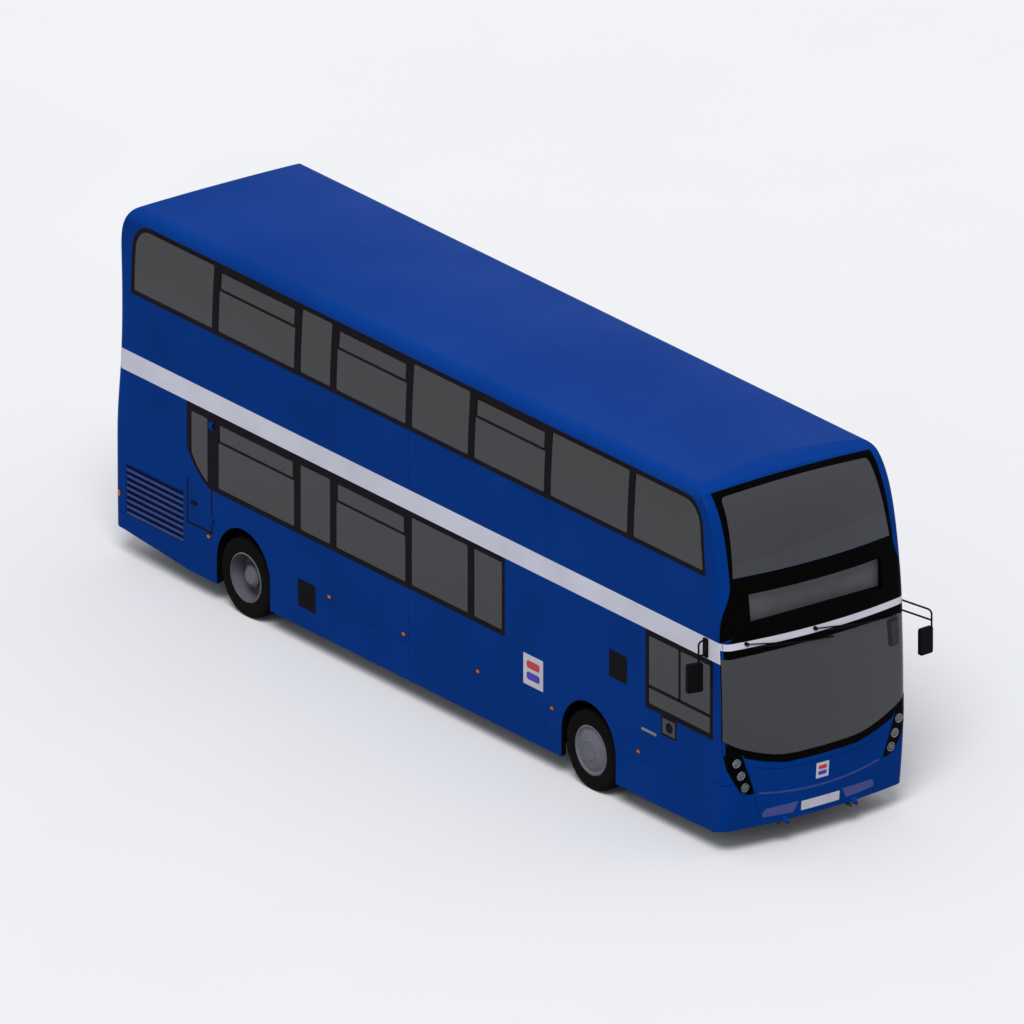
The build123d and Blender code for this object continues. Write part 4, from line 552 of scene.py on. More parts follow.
def mottle_group():
    """Two colours mixed by soft noise: a surface's uneven tone, and the mask that roughness follows."""
    if "Mottle" in bpy.data.node_groups:
        return bpy.data.node_groups["Mottle"]
    grey = (0.5, 0.5, 0.5, 1)
    group, given, result = new_group(
        "Mottle",
        [("Colour", "NodeSocketColor", grey), ("Other", "NodeSocketColor", grey), ("Scale", "NodeSocketFloat", 3.0)],
        [("Colour", "NodeSocketColor"), ("Mask", "NodeSocketFloat")],
    )
    place = group.nodes.new("ShaderNodeTexCoord")
    noise = group.nodes.new("ShaderNodeTexNoise")
    noise.inputs["Detail"].default_value = 4
    group.links.new(place.outputs["Object"], noise.inputs["Vector"])
    group.links.new(given.outputs["Scale"], noise.inputs["Scale"])
    spread = group.nodes.new("ShaderNodeMapRange")
    spread.inputs["From Min"].default_value = 0.3
    spread.inputs["From Max"].default_value = 0.7
    group.links.new(noise.outputs["Fac"], spread.inputs["Value"])
    tone = mixed(group, spread.outputs[0], given.outputs["Colour"], given.outputs["Other"])
    group.links.new(tone, result.inputs["Colour"])
    group.links.new(spread.outputs[0], result.inputs["Mask"])
    return group


def dust_group():
    """Road dust: a mask that fades out with height, broken up by noise."""
    if "Dust" in bpy.data.node_groups:
        return bpy.data.node_groups["Dust"]
    group, given, result = new_group(
        "Dust",
        [("Top", "NodeSocketFloat", 1.0), ("Amount", "NodeSocketFloat", 0.2)],
        [("Mask", "NodeSocketFloat")],
    )
    place = group.nodes.new("ShaderNodeTexCoord")
    split = group.nodes.new("ShaderNodeSeparateXYZ")
    noise = group.nodes.new("ShaderNodeTexNoise")
    noise.inputs["Scale"].default_value = 7
    noise.inputs["Detail"].default_value = 6
    group.links.new(place.outputs["Object"], split.inputs[0])
    group.links.new(place.outputs["Object"], noise.inputs["Vector"])
    fade = maths(group, "SUBTRACT", 1.0, maths(group, "DIVIDE", split.outputs["Z"], given.outputs["Top"]))
    near = maths(group, "MAXIMUM", fade, 0.0)
    broken = maths(group, "MULTIPLY", near, noise.outputs["Fac"])
    mask = maths(group, "MULTIPLY", broken, given.outputs["Amount"])
    group.links.new(mask, result.inputs["Mask"])
    return group


def grain_group():
    """A fine height for a Bump node: noise, stretched along the bus where the streak is under one."""
    if "Grain" in bpy.data.node_groups:
        return bpy.data.node_groups["Grain"]
    group, given, result = new_group(
        "Grain",
        [("Scale", "NodeSocketFloat", 200.0), ("Streak", "NodeSocketFloat", 1.0)],
        [("Height", "NodeSocketFloat")],
    )
    place = group.nodes.new("ShaderNodeTexCoord")
    stretch = group.nodes.new("ShaderNodeCombineXYZ")
    group.links.new(given.outputs["Streak"], stretch.inputs["X"])
    stretch.inputs["Y"].default_value = 1
    stretch.inputs["Z"].default_value = 1
    product = group.nodes.new("ShaderNodeVectorMath")
    product.operation = "MULTIPLY"
    group.links.new(place.outputs["Object"], product.inputs[0])
    group.links.new(stretch.outputs[0], product.inputs[1])
    noise = group.nodes.new("ShaderNodeTexNoise")
    noise.inputs["Detail"].default_value = 2
    group.links.new(product.outputs[0], noise.inputs["Vector"])
    group.links.new(given.outputs["Scale"], noise.inputs["Scale"])
    group.links.new(noise.outputs["Fac"], result.inputs["Height"])
    return group


def weave_group():
    """Woven cloth: the height of crossing threads, and a mask of small squares for a two-tone pattern."""
    if "Weave" in bpy.data.node_groups:
        return bpy.data.node_groups["Weave"]
    group, given, result = new_group(
        "Weave",
        [("Threads", "NodeSocketFloat", 400.0), ("Squares", "NodeSocketFloat", 24.0)],
        [("Height", "NodeSocketFloat"), ("Mask", "NodeSocketFloat")],
    )
    place = group.nodes.new("ShaderNodeTexCoord")
    split = group.nodes.new("ShaderNodeSeparateXYZ")
    group.links.new(place.outputs["Object"], split.inputs[0])
    along = maths(group, "ADD", split.outputs["X"], split.outputs["Z"])
    ways = along, split.outputs["Y"]
    waves, steps = [[maths(group, "SINE", maths(group, "MULTIPLY", way, given.outputs[pitch])) for way in ways]
                    for pitch in ("Threads", "Squares")]
    group.links.new(maths(group, "MULTIPLY", *waves), result.inputs["Height"])
    group.links.new(maths(group, "GREATER_THAN", maths(group, "MULTIPLY", *steps), 0.25), result.inputs["Mask"])
    return group


def placed(tree, group, **values):
    """A group node with its inputs set."""
    node = tree.nodes.new("ShaderNodeGroup")
    node.node_tree = group
    for label, value in values.items():
        node.inputs[label].default_value = value
    return node


DUST = srgb(120, 112, 100)
# Each finish: a user's colour or one as it shows on a screen, size of the mottling, roughness and its
# spread, grain and its depth, and what else it has.
FINISHES = {
    "paint_blue": ("paint", 0.9, (0.34, 0.42), 900, 0.00006,
                   dict(dust=0.004, specular=0.008, coat=0.01, coat_rough=0.12)),
    # The roof: the body paint lightened 1.12 times, painted light where its top takes more light.
    "paint_roof": ("paint", 0.6, (0.42, 0.55), 900, 0.00006,
                   dict(lighten=1.12, specular=0.02, coat=0.01, coat_rough=0.2)),
    "stripe_white": ("stripe", 1.4, (0.35, 0.45), 900, 0.00005, dict(specular=0.15)),
    "mask_black": ("mask", 2, (0.25, 0.35), 700, 0.00004, dict(specular=0.012)),
    "band_black": ("band", 3, (0.4, 0.5), 600, 0.00006, dict(specular=0.03)),
    "seam_line": ((3, 30, 82), 4, (0.5, 0.6), 500, 0.0001, dict(specular=0.02)),
    "shut_line": ((8, 12, 26), 4, (0.5, 0.6), 500, 0.0001, dict(specular=0.02)),
    "glass_tinted": ("glass", 0.8, (0.03, 0.06), 0, 0, dict(specular=0.5, transmission=0.55, ior=1.45)),
    # The screens: the same glass tint as the side windows, lightened 1.9 times as painted light.
    "glass_screen": ("glass", 0.5, (0.03, 0.06), 0, 0, dict(lighten=1.9, specular=0.5, transmission=0.45, ior=1.45)),
    "display_grey": ((74, 74, 80), 5, (0.45, 0.5), 1500, 0.0001, {}),
    "grille_pale": ((62, 74, 120), 6, (0.4, 0.5), 700, 0.0001, dict(specular=0.06)),
    # The radiator grille, darker than the body paint: painted shade between its louvres.
    "grille_shade": ((6, 38, 98), 4, (0.5, 0.6), 700, 0.0001, dict(specular=0.02)),
    "crease_blue": ((52, 70, 138), 3, (0.35, 0.45), 800, 0.00005, dict(specular=0.1)),
    "panel_violet": ((74, 80, 142), 3, (0.3, 0.4), 800, 0.00005, dict(specular=0.1)),
    "plastic_black": ((12, 11, 13), 9, (0.5, 0.62), 2200, 0.0002, dict(specular=0.04)),
    "plastic_grey": ((58, 60, 66), 7, (0.5, 0.6), 1800, 0.0002, dict(specular=0.3)),
    "vent_dark": ((16, 15, 19), 8, (0.55, 0.65), 1500, 0.0002, dict(specular=0.04)),
    "plate_white": ((196, 196, 206), 6, (0.35, 0.42), 1500, 0.00005, {}),
    "mark_red": ((190, 22, 24), 8, (0.35, 0.42), 1500, 0.00005, {}),
    "mark_blue": ((44, 24, 168), 8, (0.35, 0.42), 1500, 0.00005, {}),
    "handle_grey": ((120, 120, 128), 9, (0.3, 0.4), 900, 0.0001, dict(metallic=0.5)),
    "lens_amber": ((196, 98, 4), 20, (0.2, 0.3), 500, 0.0003, dict(coat=0.05, specular=0.1)),
    "lens_red": ((150, 10, 12), 20, (0.16, 0.26), 500, 0.0003, dict(coat=0.1, specular=0.15)),
    "lens_clear": ((96, 97, 103), 20, (0.16, 0.26), 420, 0.0003, dict(coat=0.1, specular=0.2)),
    "reflector": ((150, 152, 160), 12, (0.16, 0.26), 300, 0.0002, dict(metallic=0.9)),
    "lamp_well": ((30, 30, 34), 12, (0.3, 0.4), 300, 0.0002, dict(specular=0.3)),
    "mirror_glass": ((170, 176, 184), 2, (0.02, 0.04), 0, 0, dict(metallic=1.0)),
    "rubber_tyre": ((11, 11, 12), 7, (0.72, 0.85), 420, 0.0004, dict(dust=0.03, dust_top=1.2, specular=0.03)),
    "rubber_seal": ((13, 13, 14), 15, (0.6, 0.75), 900, 0.0002, dict(specular=0.15)),
    "wheel_paint": ((101, 102, 111), 9, (0.42, 0.55), 700, 0.0001,
                    dict(dust=0.06, dust_top=1.0, metallic=0.1, specular=0.2)),
    "steel_plain": ((120, 121, 126), 14, (0.3, 0.42), 260, 0.0001, dict(streak=6.0, metallic=0.9)),
    "iron_cast": ((64, 62, 62), 11, (0.62, 0.78), 330, 0.0006, dict(dust=0.3, metallic=0.3)),
    "iron_engine": ((92, 94, 96), 7, (0.55, 0.7), 300, 0.0006, dict(metallic=0.3)),
    "chassis_paint": ((34, 35, 38), 6, (0.55, 0.7), 420, 0.0003, dict(dust=0.3)),
    "arch_black": ((10, 10, 11), 6, (0.8, 0.9), 260, 0.0006, dict(specular=0.02)),
    "trim_inside": ((120, 124, 132), 4, (0.55, 0.65), 900, 0.0002, {}),
    "trim_dark": ((52, 54, 60), 6, (0.55, 0.7), 1300, 0.0003, {}),
    "floor_vinyl": ((92, 96, 106), 160, (0.5, 0.62), 600, 0.0002, {}),
    "rail_yellow": ((226, 176, 34), 10, (0.3, 0.38), 900, 0.0001, dict(coat=0.3)),
    "seat_cloth": ((34, 52, 112), 0, (0.85, 0.95), 0, 0.0006,
                   dict(other=(60, 44, 88), weave=(1800.0, 60.0), sheen=0.3, specular=0.15)),
    "seat_shell": ((60, 63, 74), 6, (0.45, 0.55), 900, 0.0002, {}),
}


def finish(name):
    """The material of that name, made once from its row: base colour by mottle and dust, or by a weave,
    roughness by the same mask, and bump from grain or threads."""
    label = "bus_" + name
    if label in bpy.data.materials:
        return bpy.data.materials[label]
    colour, mottle, rough, grain, depth, more = FINISHES[name]
    colour = getattr(bpy.context.scene.bus_colours, colour) if isinstance(colour, str) else srgb(*colour)
    # A gain from the row lightens the colour: painted light, on the roof and the screens.
    colour = tuple(min(1, part * more.get("lighten", 1)) for part in colour[:3]) + (1.0,)
    other = srgb(*more["other"]) if "other" in more else tuple(part * 0.86 for part in colour[:3]) + (1.0,)
    material = bpy.data.materials.new(label)
    material.use_nodes = True
    tree = material.node_tree
    shader = tree.nodes["Principled BSDF"]
    for socket, key in (("Metallic", "metallic"), ("Specular IOR Level", "specular"), ("Coat Weight", "coat"),
                        ("Coat Roughness", "coat_rough"), ("Transmission Weight", "transmission"), ("IOR", "ior"),
                        ("Sheen Weight", "sheen")):
        if key in more:
            shader.inputs[socket].default_value = more[key]
    if "weave" in more:
        threads, squares = more["weave"]
        source = placed(tree, weave_group(), Threads=threads, Squares=squares)
        tone = mixed(tree, source.outputs["Mask"], colour, other)
        mask, height = source.outputs["Mask"], source.outputs["Height"]
    else:
        source = placed(tree, mottle_group(), Colour=colour, Other=other, Scale=float(mottle))
        tone, mask, height = source.outputs["Colour"], source.outputs["Mask"], None
        if grain:
            fine = placed(tree, grain_group(), Scale=float(grain), Streak=1 / more.get("streak", 1.0))
            height = fine.outputs["Height"]
    if "dust" in more:
        dust = placed(tree, dust_group(), Top=more.get("dust_top", 0.9), Amount=more["dust"])
        tone = mixed(tree, dust.outputs["Mask"], tone, DUST)
    tree.links.new(tone, shader.inputs["Base Color"])
    spread = tree.nodes.new("ShaderNodeMapRange")
    spread.inputs["To Min"].default_value, spread.inputs["To Max"].default_value = rough
    tree.links.new(mask, spread.inputs["Value"])
    tree.links.new(spread.outputs[0], shader.inputs["Roughness"])
    if height is not None:
        bump = tree.nodes.new("ShaderNodeBump")
        bump.inputs["Distance"].default_value = depth
        bump.inputs["Strength"].default_value = 0.8
        tree.links.new(height, bump.inputs["Height"])
        tree.links.new(bump.outputs["Normal"], shader.inputs["Normal"])
    return material


# Finishes that the pieces wear, by the slot they belong to.
SLOTS = {
    "body_blue": ["stripe_white", "paint_blue", "crease_blue", "plate_white", "panel_violet", "mark_red",
                  "mark_blue", "shut_line", "seam_line"],
    "mask_black": ["band_black", "mask_black"],
    "trim_black": ["plastic_black", "plastic_grey", "vent_dark", "handle_grey", "rubber_seal", "mirror_glass"],
    "lamp_clear": ["lens_clear", "reflector"],
    "lamp_red": ["lens_amber", "lens_red"],
    "grille_blue": ["grille_pale"],
    "rail_yellow": ["rail_yellow"],
    "tyre_black": ["rubber_tyre"],
    "chassis_black": ["arch_black"],
    "rim_grey": ["steel_plain"],
    "trim_panel": ["seat_shell"],
    "trim_dark": ["trim_dark"],
    "seat_fabric": ["seat_cloth"],
}
SLOT_OF = {material: slot for slot, materials in SLOTS.items() for material in materials}

# Nodes that stay as they are, by their finish.
NODE_FINISHES = {
    "paint_blue": ["lower_offside_panel", "lower_nearside_panel", "upper_offside_panel", "upper_nearside_panel",
                   "front_lower_panel", "front_upper_panel", "rear_lower_panel", "rear_upper_panel", "front_hatch",
                   "engine_cover", "emergency_door"],
    # The roof wears the lighter copy of the body paint: painted light.
    "paint_roof": ["roof"],
    "glass_tinted": ["upper_side_glass", "lower_side_glass", "emergency_door_glass", "entrance_front_glass",
                     "entrance_rear_glass"],
    # The windscreens and rear window wear the lightened glass: painted light.
    "glass_screen": ["windscreens_and_rear_window"],
    "band_black": ["entrance_front_leaf", "entrance_rear_leaf"],
    "display_grey": ["destination_display"],
    # The grille wears the darker blue: painted shade between the louvres.
    "grille_shade": ["radiator_grille"],
    "plastic_black": ["door_mirrors", "wipers"],
    "lamp_well": ["headlamps"],
    "lens_red": ["tail_lamps"],
    "steel_plain": ["entrance_front_arms", "entrance_rear_arms"],
    "iron_cast": ["front_axle_beam", "rear_axle", "nearside_knuckle", "offside_knuckle", "tie_rod"],
    "iron_engine": ["engine_block"],
    "chassis_paint": ["chassis_frame"],
    "rubber_seal": ["air_springs"],
    "arch_black": ["wheel_boxes"],
    "wheel_paint": ["front_nearside_rim", "front_offside_rim", "rear_nearside_rim", "rear_offside_rim"],
    "trim_inside": ["cab_partition"],
    "trim_dark": ["dashboard", "steering_wheel", "stairs", "driver_seat", "lower_seats", "upper_seats"],
    "floor_vinyl": ["lower_floor", "upper_floor", "rear_platform"],
    "rail_yellow": ["handrails"],
    "rubber_tyre": ["front_nearside_tyre", "front_offside_tyre", "rear_nearside_tyres", "rear_offside_tyres"],
}


# ============================================================ sizes and colours a user may change
class BusSizes(bpy.types.PropertyGroup):
    """Sizes of the trims, tyres and stage."""
    border: bpy.props.FloatProperty(
        name="Window border", description="Width of the black band round the windows", default=0.056, min=0.02,
        unit="LENGTH")
    stripe_foot: bpy.props.FloatProperty(
        name="Stripe foot", description="Height of the stripe's lower edge on the sides", default=DECK - 0.250,
        unit="LENGTH")
    front_stripe: bpy.props.FloatProperty(
        name="Front stripe", description="Height of the stripe across the front", default=0.080, unit="LENGTH")
    seam: bpy.props.FloatProperty(
        name="Seam width", description="Width of the lines between body panels", default=0.007, unit="LENGTH")
    tread: bpy.props.FloatProperty(
        name="Tread depth", description="Depth of the grooves round each tyre", default=0.011, unit="LENGTH")
    blocks: bpy.props.IntProperty(
        name="Tread cuts", description="Cross cuts round each tyre's shoulders", default=64, min=8, max=120)
    louvre_pitch: bpy.props.FloatProperty(
        name="Louvre pitch", description="Spacing of the radiator louvres", default=0.075, unit="LENGTH")
    plate_width: bpy.props.FloatProperty(
        name="Plate width", description="Width of the blank number plates", default=0.535, unit="LENGTH")
    marker: bpy.props.FloatProperty(
        name="Side marker", description="Half the length of a side marker lamp", default=0.040, unit="LENGTH")
    nuts: bpy.props.IntProperty(
        name="Wheel nuts", description="Nuts round each rear wheel", default=10, min=5, max=12)
    camera_lens: bpy.props.FloatProperty(
        name="Lens", description="Focal length; the camera stands back to match", default=1600.0, min=35, max=1650)
    sun_power: bpy.props.FloatProperty(
        name="Sun strength", description="Strength of the soft sun", default=2.1, min=0)
    sky_power: bpy.props.FloatProperty(
        name="Sky strength", description="Strength of the even light from the sky", default=0.62, min=0)


class BusColours(bpy.types.PropertyGroup):
    """Colours of the main finishes."""
    paint: bpy.props.FloatVectorProperty(
        name="Paint", description="Body paint", default=(0.0012, 0.036, 0.226), subtype="COLOR", min=0, max=1)
    stripe: bpy.props.FloatVectorProperty(
        name="Stripe", description="The stripe round the body", default=(0.66, 0.66, 0.76), subtype="COLOR", min=0,
        max=1)
    mask: bpy.props.FloatVectorProperty(
        name="Front mask", description="Panel round the screens", default=(0.0014, 0.0014, 0.0014), subtype="COLOR",
        min=0, max=1)
    band: bpy.props.FloatVectorProperty(
        name="Window bands", description="Bands round the side windows", default=(0.0055, 0.0035, 0.0055),
        subtype="COLOR", min=0, max=1)
    glass: bpy.props.FloatVectorProperty(
        name="Glass tint", description="Tint of all windows", default=(0.030, 0.031, 0.037), subtype="COLOR", min=0,
        max=1)
    floor: bpy.props.FloatVectorProperty(
        name="Floor", description="Studio floor and backdrop", default=(0.80, 0.80, 0.81), subtype="COLOR", min=0,
        max=1)


class Build:
    """Shared by the operators: each builds its pieces from the sizes, and an error in one stops it."""
    bl_options = {"REGISTER", "UNDO"}

    def execute(self, context):
        self.build(context.scene.bus_sizes)
        return {"FINISHED"}


class FinishNodes(Build, bpy.types.Operator):
    """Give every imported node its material."""
    bl_idname = "bus.finish_nodes"
    bl_label = "Finishes"

    def build(self, sizes):
        for name, nodes in NODE_FINISHES.items():
            for node in nodes:
                NODES[node].data.materials.clear()
                NODES[node].data.materials.append(finish(name))


class Stripe(Build, bpy.types.Operator):
    """The pale stripe: along both sides, round the corners, narrower across the front, and round the tail."""
    bl_idname = "bus.stripe"
    bl_label = "Stripe"

    def build(self, sizes):
        foot, edge = sizes.stripe_foot, nose.girth(MASK_EDGE_Y)
        front_x, rear_x = at(2.20), REAR_SEAM + 0.10
        along, z = np.linspace(rear_x, front_x, 60), np.linspace(foot, DECK, 9)
        for name, hand in HANDS:
            sheets = [strip(side(hand), level(along, foot), level(along, DECK))]
            for end, x, close, steps in ((nose, front_x, edge, 20), (tail, rear_x, 0.0, 48)):
                sheets.append(strip(end.wrap, upright(hand * end.back_to(x, z), z), upright(hand * close, z),
                                    steps=steps))
            piece("stripe_" + name, sheets, "stripe_white")
        across, low = np.linspace(-edge, edge, 90), DECK - sizes.front_stripe
        piece("stripe_front", [strip(nose.wrap, level(across, low), level(across, DECK))], "stripe_white")
        z = np.linspace(low + 0.012, DECK - 0.012, 5)
        marks = [line(nose.wrap, upright(hand * (edge - 0.035), z), 0.006, rise=0.0018) for hand in (1, -1)]
        piece("stripe_marks", marks, "paint_blue")


class SideWindows(Build, bpy.types.Operator):
    """Black bands round the side windows, their opening top panes and the cab window's bars."""
    bl_idname = "bus.side_windows"
    bl_label = "Side window bands"

    def build(self, sizes):
        edge = sizes.border
        for name, hand in HANDS:
            place, tops = side(hand), []
            panes = clusters("upper_side_glass", hand)
            foot, head = panes[0][0][2] - edge, panes[0][1][2] + edge
            sheets = pane_row(place, panes, panes[0][0][0] - edge, panes[-1][1][0] + edge, foot, head,
                              rear_radii=(0.305, 0.25), front_radii=(0.35, 0.30), leans=(0.118, 0.110))
            for low, high in panes:
                if high[2] < panes[0][1][2] - 0.02:
                    tops.append(hopper(place, low, high, TOP - 0.484))
            panes = clusters("lower_side_glass", hand)
            foot, head = panes[0][0][2] - 0.060, sizes.stripe_foot
            cab = panes.pop() if hand < 0 else None
            rear = EMERGENCY_FRONT + 0.0035 if hand < 0 else panes[0][0][0] - edge
            sheets += pane_row(place, panes, rear, panes[-1][1][0] + edge, foot, head)
            for low, high in panes:
                if high[2] < panes[-1][1][2] - 0.02 and high[0] - low[0] > 0.75:
                    tops.append(hopper(place, low, high, low[2] + 0.587))
            if cab:
                low, high = cab
                sheets += pane_row(place, [cab], low[0] - edge, high[0] + edge, foot, head)
                x, z = at(1.687), CAB_BAR_Z
                for path in ([(low[0], z), (high[0], z)], [(x, z), (x, high[2])]):
                    tops.append(line(place, run(path, 12), 0.038, rise=-0.0006, sunk=0.0055))
            piece("window_bands_" + name, sheets, "band_black")
            piece("window_sashes_" + name, tops, "band_black")


# Half outlines of the front, as distances across and heights. The mask's edge runs up from the stripe to
# the split between its two bands, and on to the roof; the upper screen's edge lies inside it.
MASK_SPLIT = TOP - 1.140
MASK_SIDE = [(1.271, DECK), (1.268, 2.69), (1.256, 2.84), (1.222, 2.97), (1.168, 3.11), (1.1445, MASK_SPLIT)]
MASK_SHOULDER = [(1.1445, MASK_SPLIT), (1.121, TOP - 0.150), (1.112, TOP - 0.137)]
SCREEN_SIDE = [(1.1003, TOP - 1.0403), (1.0353, TOP - 0.240), (1.0265, TOP - 0.206), (1.003, TOP - 0.183),
               (0.970, TOP - 0.1795)]
# Distances across and heights of the mask's foot under the windscreen.
UNDER_SCREEN = [0, 0.5, 0.77, 1.04, 1.06, 1.30], [1.015, 1.02, 1.083, 1.17, 1.213, 1.222]
# Lamp housings from the top down: inner and outer corners, and the point of the lowest one's foot.
HOUSING_INNER = [(1.074, 1.212), (1.015, 1.046), (0.959, 0.888), (0.902, 0.722)]
HOUSING_OUTER = [(1.268, 1.222), (1.243, 1.052), (1.163, 0.886), (1.085, 0.768)]
HOUSING_TIP = (0.965, 0.708)


def over_top(reach, below, width):
    """A run over the top from one side to the other, bowed down by 45 mm at the width."""
    return [(y, TOP - below - 0.045 * (y / width) ** 2) for y in np.linspace(reach, -reach, 24)]


def mirrored(half, over, count=40):
    """A closed outline from its half on one side, the run over its top, and the half mirrored."""
    return loop([(-half[0][0], half[0][1]), half[0]], half, over, [(-y, z) for y, z in half[::-1]], count=count)


class FrontMask(Build, bpy.types.Operator):
    """The front's black mask round the upper screen and the display, the bands above and below the
    windscreen, and the two clusters of lamps."""
    bl_idname = "bus.front_mask"
    bl_label = "Front mask and lamps"

    def build(self, sizes):
        self.mask()
        self.screen_bands(sizes)
        self.lamps()

    def around(self, way):
        """An outline of distances across, as girths."""
        return np.stack([nose.girth(way[:, 0]), way[:, 1]], 1)

    def mask(self):
        """Two bands, round the upper screen and round the display, and the sides of the display's recess."""
        width = MASK_SHOULDER[-1][0]
        outer = mirrored(MASK_SHOULDER, over_top(width, 0.092, width))
        inner = mirrored(SCREEN_SIDE, over_top(0.97, 0.1397, 1.03))
        split = MASK_SIDE[-1][0]
        lower = mirrored(curve(MASK_SIDE, 30), [(split, MASK_SPLIT), (-split, MASK_SPLIT)], 96)
        low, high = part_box("destination_display")
        corners = [(low.y, low.z), (high.y, low.z), (high.y, high.z), (low.y, high.z)]
        box = loop(*zip(corners, corners[1:] + corners[:1]), count=96)
        lift = 0.0022
        piece("front_mask", [
            band(nose.wrap, self.around(outer), self.around(inner), rise=lift, lip=0.0047, steps=6),
            band(nose.wrap, self.around(lower), self.around(box), rise=lift, steps=14),
        ], "mask_black")
        inward = np.clip(box, (low.y + 0.002, low.z + 0.002), (high.y - 0.002, high.z - 0.002))
        deep = lambda way: np.concatenate([np.full((len(way), 1), high.x + 0.0005), way], 1)
        reveal = np.stack([nose.face(*box.T, lift), nose.face(*inward.T, lift), deep(inward), deep(box)])
        piece("display_reveal", [(reveal, True, True)], "mask_black")

    def screen_bands(self, sizes):
        """Above and below the windscreen, and up its edges at the corners."""
        across = np.linspace(-MASK_EDGE_Y, MASK_EDGE_Y, 121)
        girth = nose.girth(across)
        glass_top = TOP - 1.940 - 0.030 * (across / 1.4) ** 2
        glass_foot = np.interp(np.abs(across), *curve(SCREEN_FOOT, 60).T)
        under = np.interp(np.abs(across), *UNDER_SCREEN)
        reach = np.concatenate([girth[:1] - 0.045, girth, girth[-1:] + 0.045])
        sheets = [
            strip(nose.wrap, level(reach, DECK - sizes.front_stripe), level(reach, np.pad(glass_top, 1, "edge")),
                  lip=0.003),
            strip(nose.wrap, level(girth, under), level(girth, glass_foot), lip=0.003, steps=3),
        ]
        z = np.linspace(1.40, TOP - 1.965, 30)
        for hand in (1, -1):
            sheets.append(line(nose.wrap, upright(hand * (nose.girth(MASK_EDGE_Y) + 0.001), z), 0.012, sunk=0.004))
        piece("screen_bands", sheets, "mask_black")

    def lamps(self):
        """Three lamps a side, each with a housing, a lens and a bright ring."""
        housings, lenses, rings = [], [], []
        for hand in (1, -1):
            for n, (y, z) in enumerate(LAMPS):
                head, foot = [HOUSING_OUTER[n], HOUSING_INNER[n]], [HOUSING_INNER[n + 1], HOUSING_OUTER[n + 1]]
                if n == len(LAMPS) - 1:
                    foot.insert(1, HOUSING_TIP)
                cell = loop([head[1], foot[0]], foot, [foot[-1], head[0]], head, count=16) * [hand, 1]
                hole = toward(cell, hand * y, z, LAMP_R + 0.0003)
                housings.append(band(nose.wrap, self.around(cell), self.around(hole), rise=0.002, lip=0.006, steps=5))
                seat = (nose.face(np.array(hand * y), np.array(z))[0] - 0.002, hand * y, z)
                lenses.append(turned([(0, 0.010), (0.016, 0.0095), (0.030, 0.007), (0.040, 0.001), (0.041, -0.006),
                                      (0, -0.008)], seat, FORWARD, 40))
                rings.append(turned_ring([(0.0425, -0.004), (0.043, 0.004), (0.0475, 0.008), (0.053, 0.004),
                                          (0.0545, -0.006), (0.0425, -0.006)], seat, FORWARD))
        piece("lamp_housings", housings, "mask_black")
        piece("lamp_lenses", lenses, "lens_clear")
        piece("lamp_rings", rings, "reflector")


class FrontHatch(Build, bpy.types.Operator):
    """On the front hatch: a crease, a blank number plate between two panels, and a plain badge plate."""
    bl_idname = "bus.front_hatch"
    bl_label = "Front hatch trims"

    def build(self, sizes):
        face, body = nose.face, "front_hatch"
        y = np.linspace(-CREASE_Y, CREASE_Y, 70)
        crease = level(y, CREASE_Z + CREASE_RISE * (y / CREASE_Y) ** 2)
        piece("hatch_crease", [line(face, crease, 0.026, rise=0.0022, steps=4)], "crease_blue", body, angle=80)
        half = sizes.plate_width / 2
        edge = box_outline(-half, half, *FRONT_PLATE_Z, 0.012)
        piece("front_plate", [plate(face, edge, rise=0.004, soften=0.0004)], "plate_white", body)
        beside = [(0.375, 0.368), (0.775, 0.392), (0.785, 0.440), (0.740, 0.490), (0.305, 0.494)]
        radii = [0.006, 0.02, 0.02, 0.03, 0.006]
        panels = [plate(face, outline([(hand * y, z) for y, z in beside], radii), rise=0.0015, soften=0.0003, rings=6)
                  for hand in (1, -1)]
        piece("plate_panels", panels, "panel_violet", body)
        badge("front_badge", face, *FRONT_BADGE, body)
        corner = [(nose.back_to(at(2.318), 0.872), 0.872), (nose.girth(1.2749), 0.858), (nose.girth(1.237), 0.860),
                  (nose.girth(1.192), 0.893)]
        lines = [line(nose.wrap, curve([(hand * g, z) for g, z in corner], 36), 0.006) for hand in (1, -1)]
        piece("corner_shut_lines", lines, "shut_line")


def badge(name, place, a, b, half_width, half_height, body="body"):
    """A plain white plate with a red and a blue bar."""
    edge = box_outline(a - half_width, a + half_width, b - half_height, b + half_height, 0.004)
    piece(name, [plate(place, edge, rise=0.0015)], "plate_white", body)
    for colour, low, high in (("mark_red", 0.12, 0.62), ("mark_blue", -0.62, -0.12)):
        edge = box_outline(a - 0.66 * half_width, a + 0.66 * half_width, b + low * half_height,
                           b + high * half_height, 0.18 * half_height)
        piece(f"{name}_{colour}", [plate(place, edge, rise=0.0023, sunk=-0.0014)], colour, body)


def frame_of(place, edges, radius, border, inner_radius, **heights):
    """A band just inside a box."""
    return band(place, box_outline(*edges, radius), box_outline(*edges, inner_radius, inset=border), **heights)


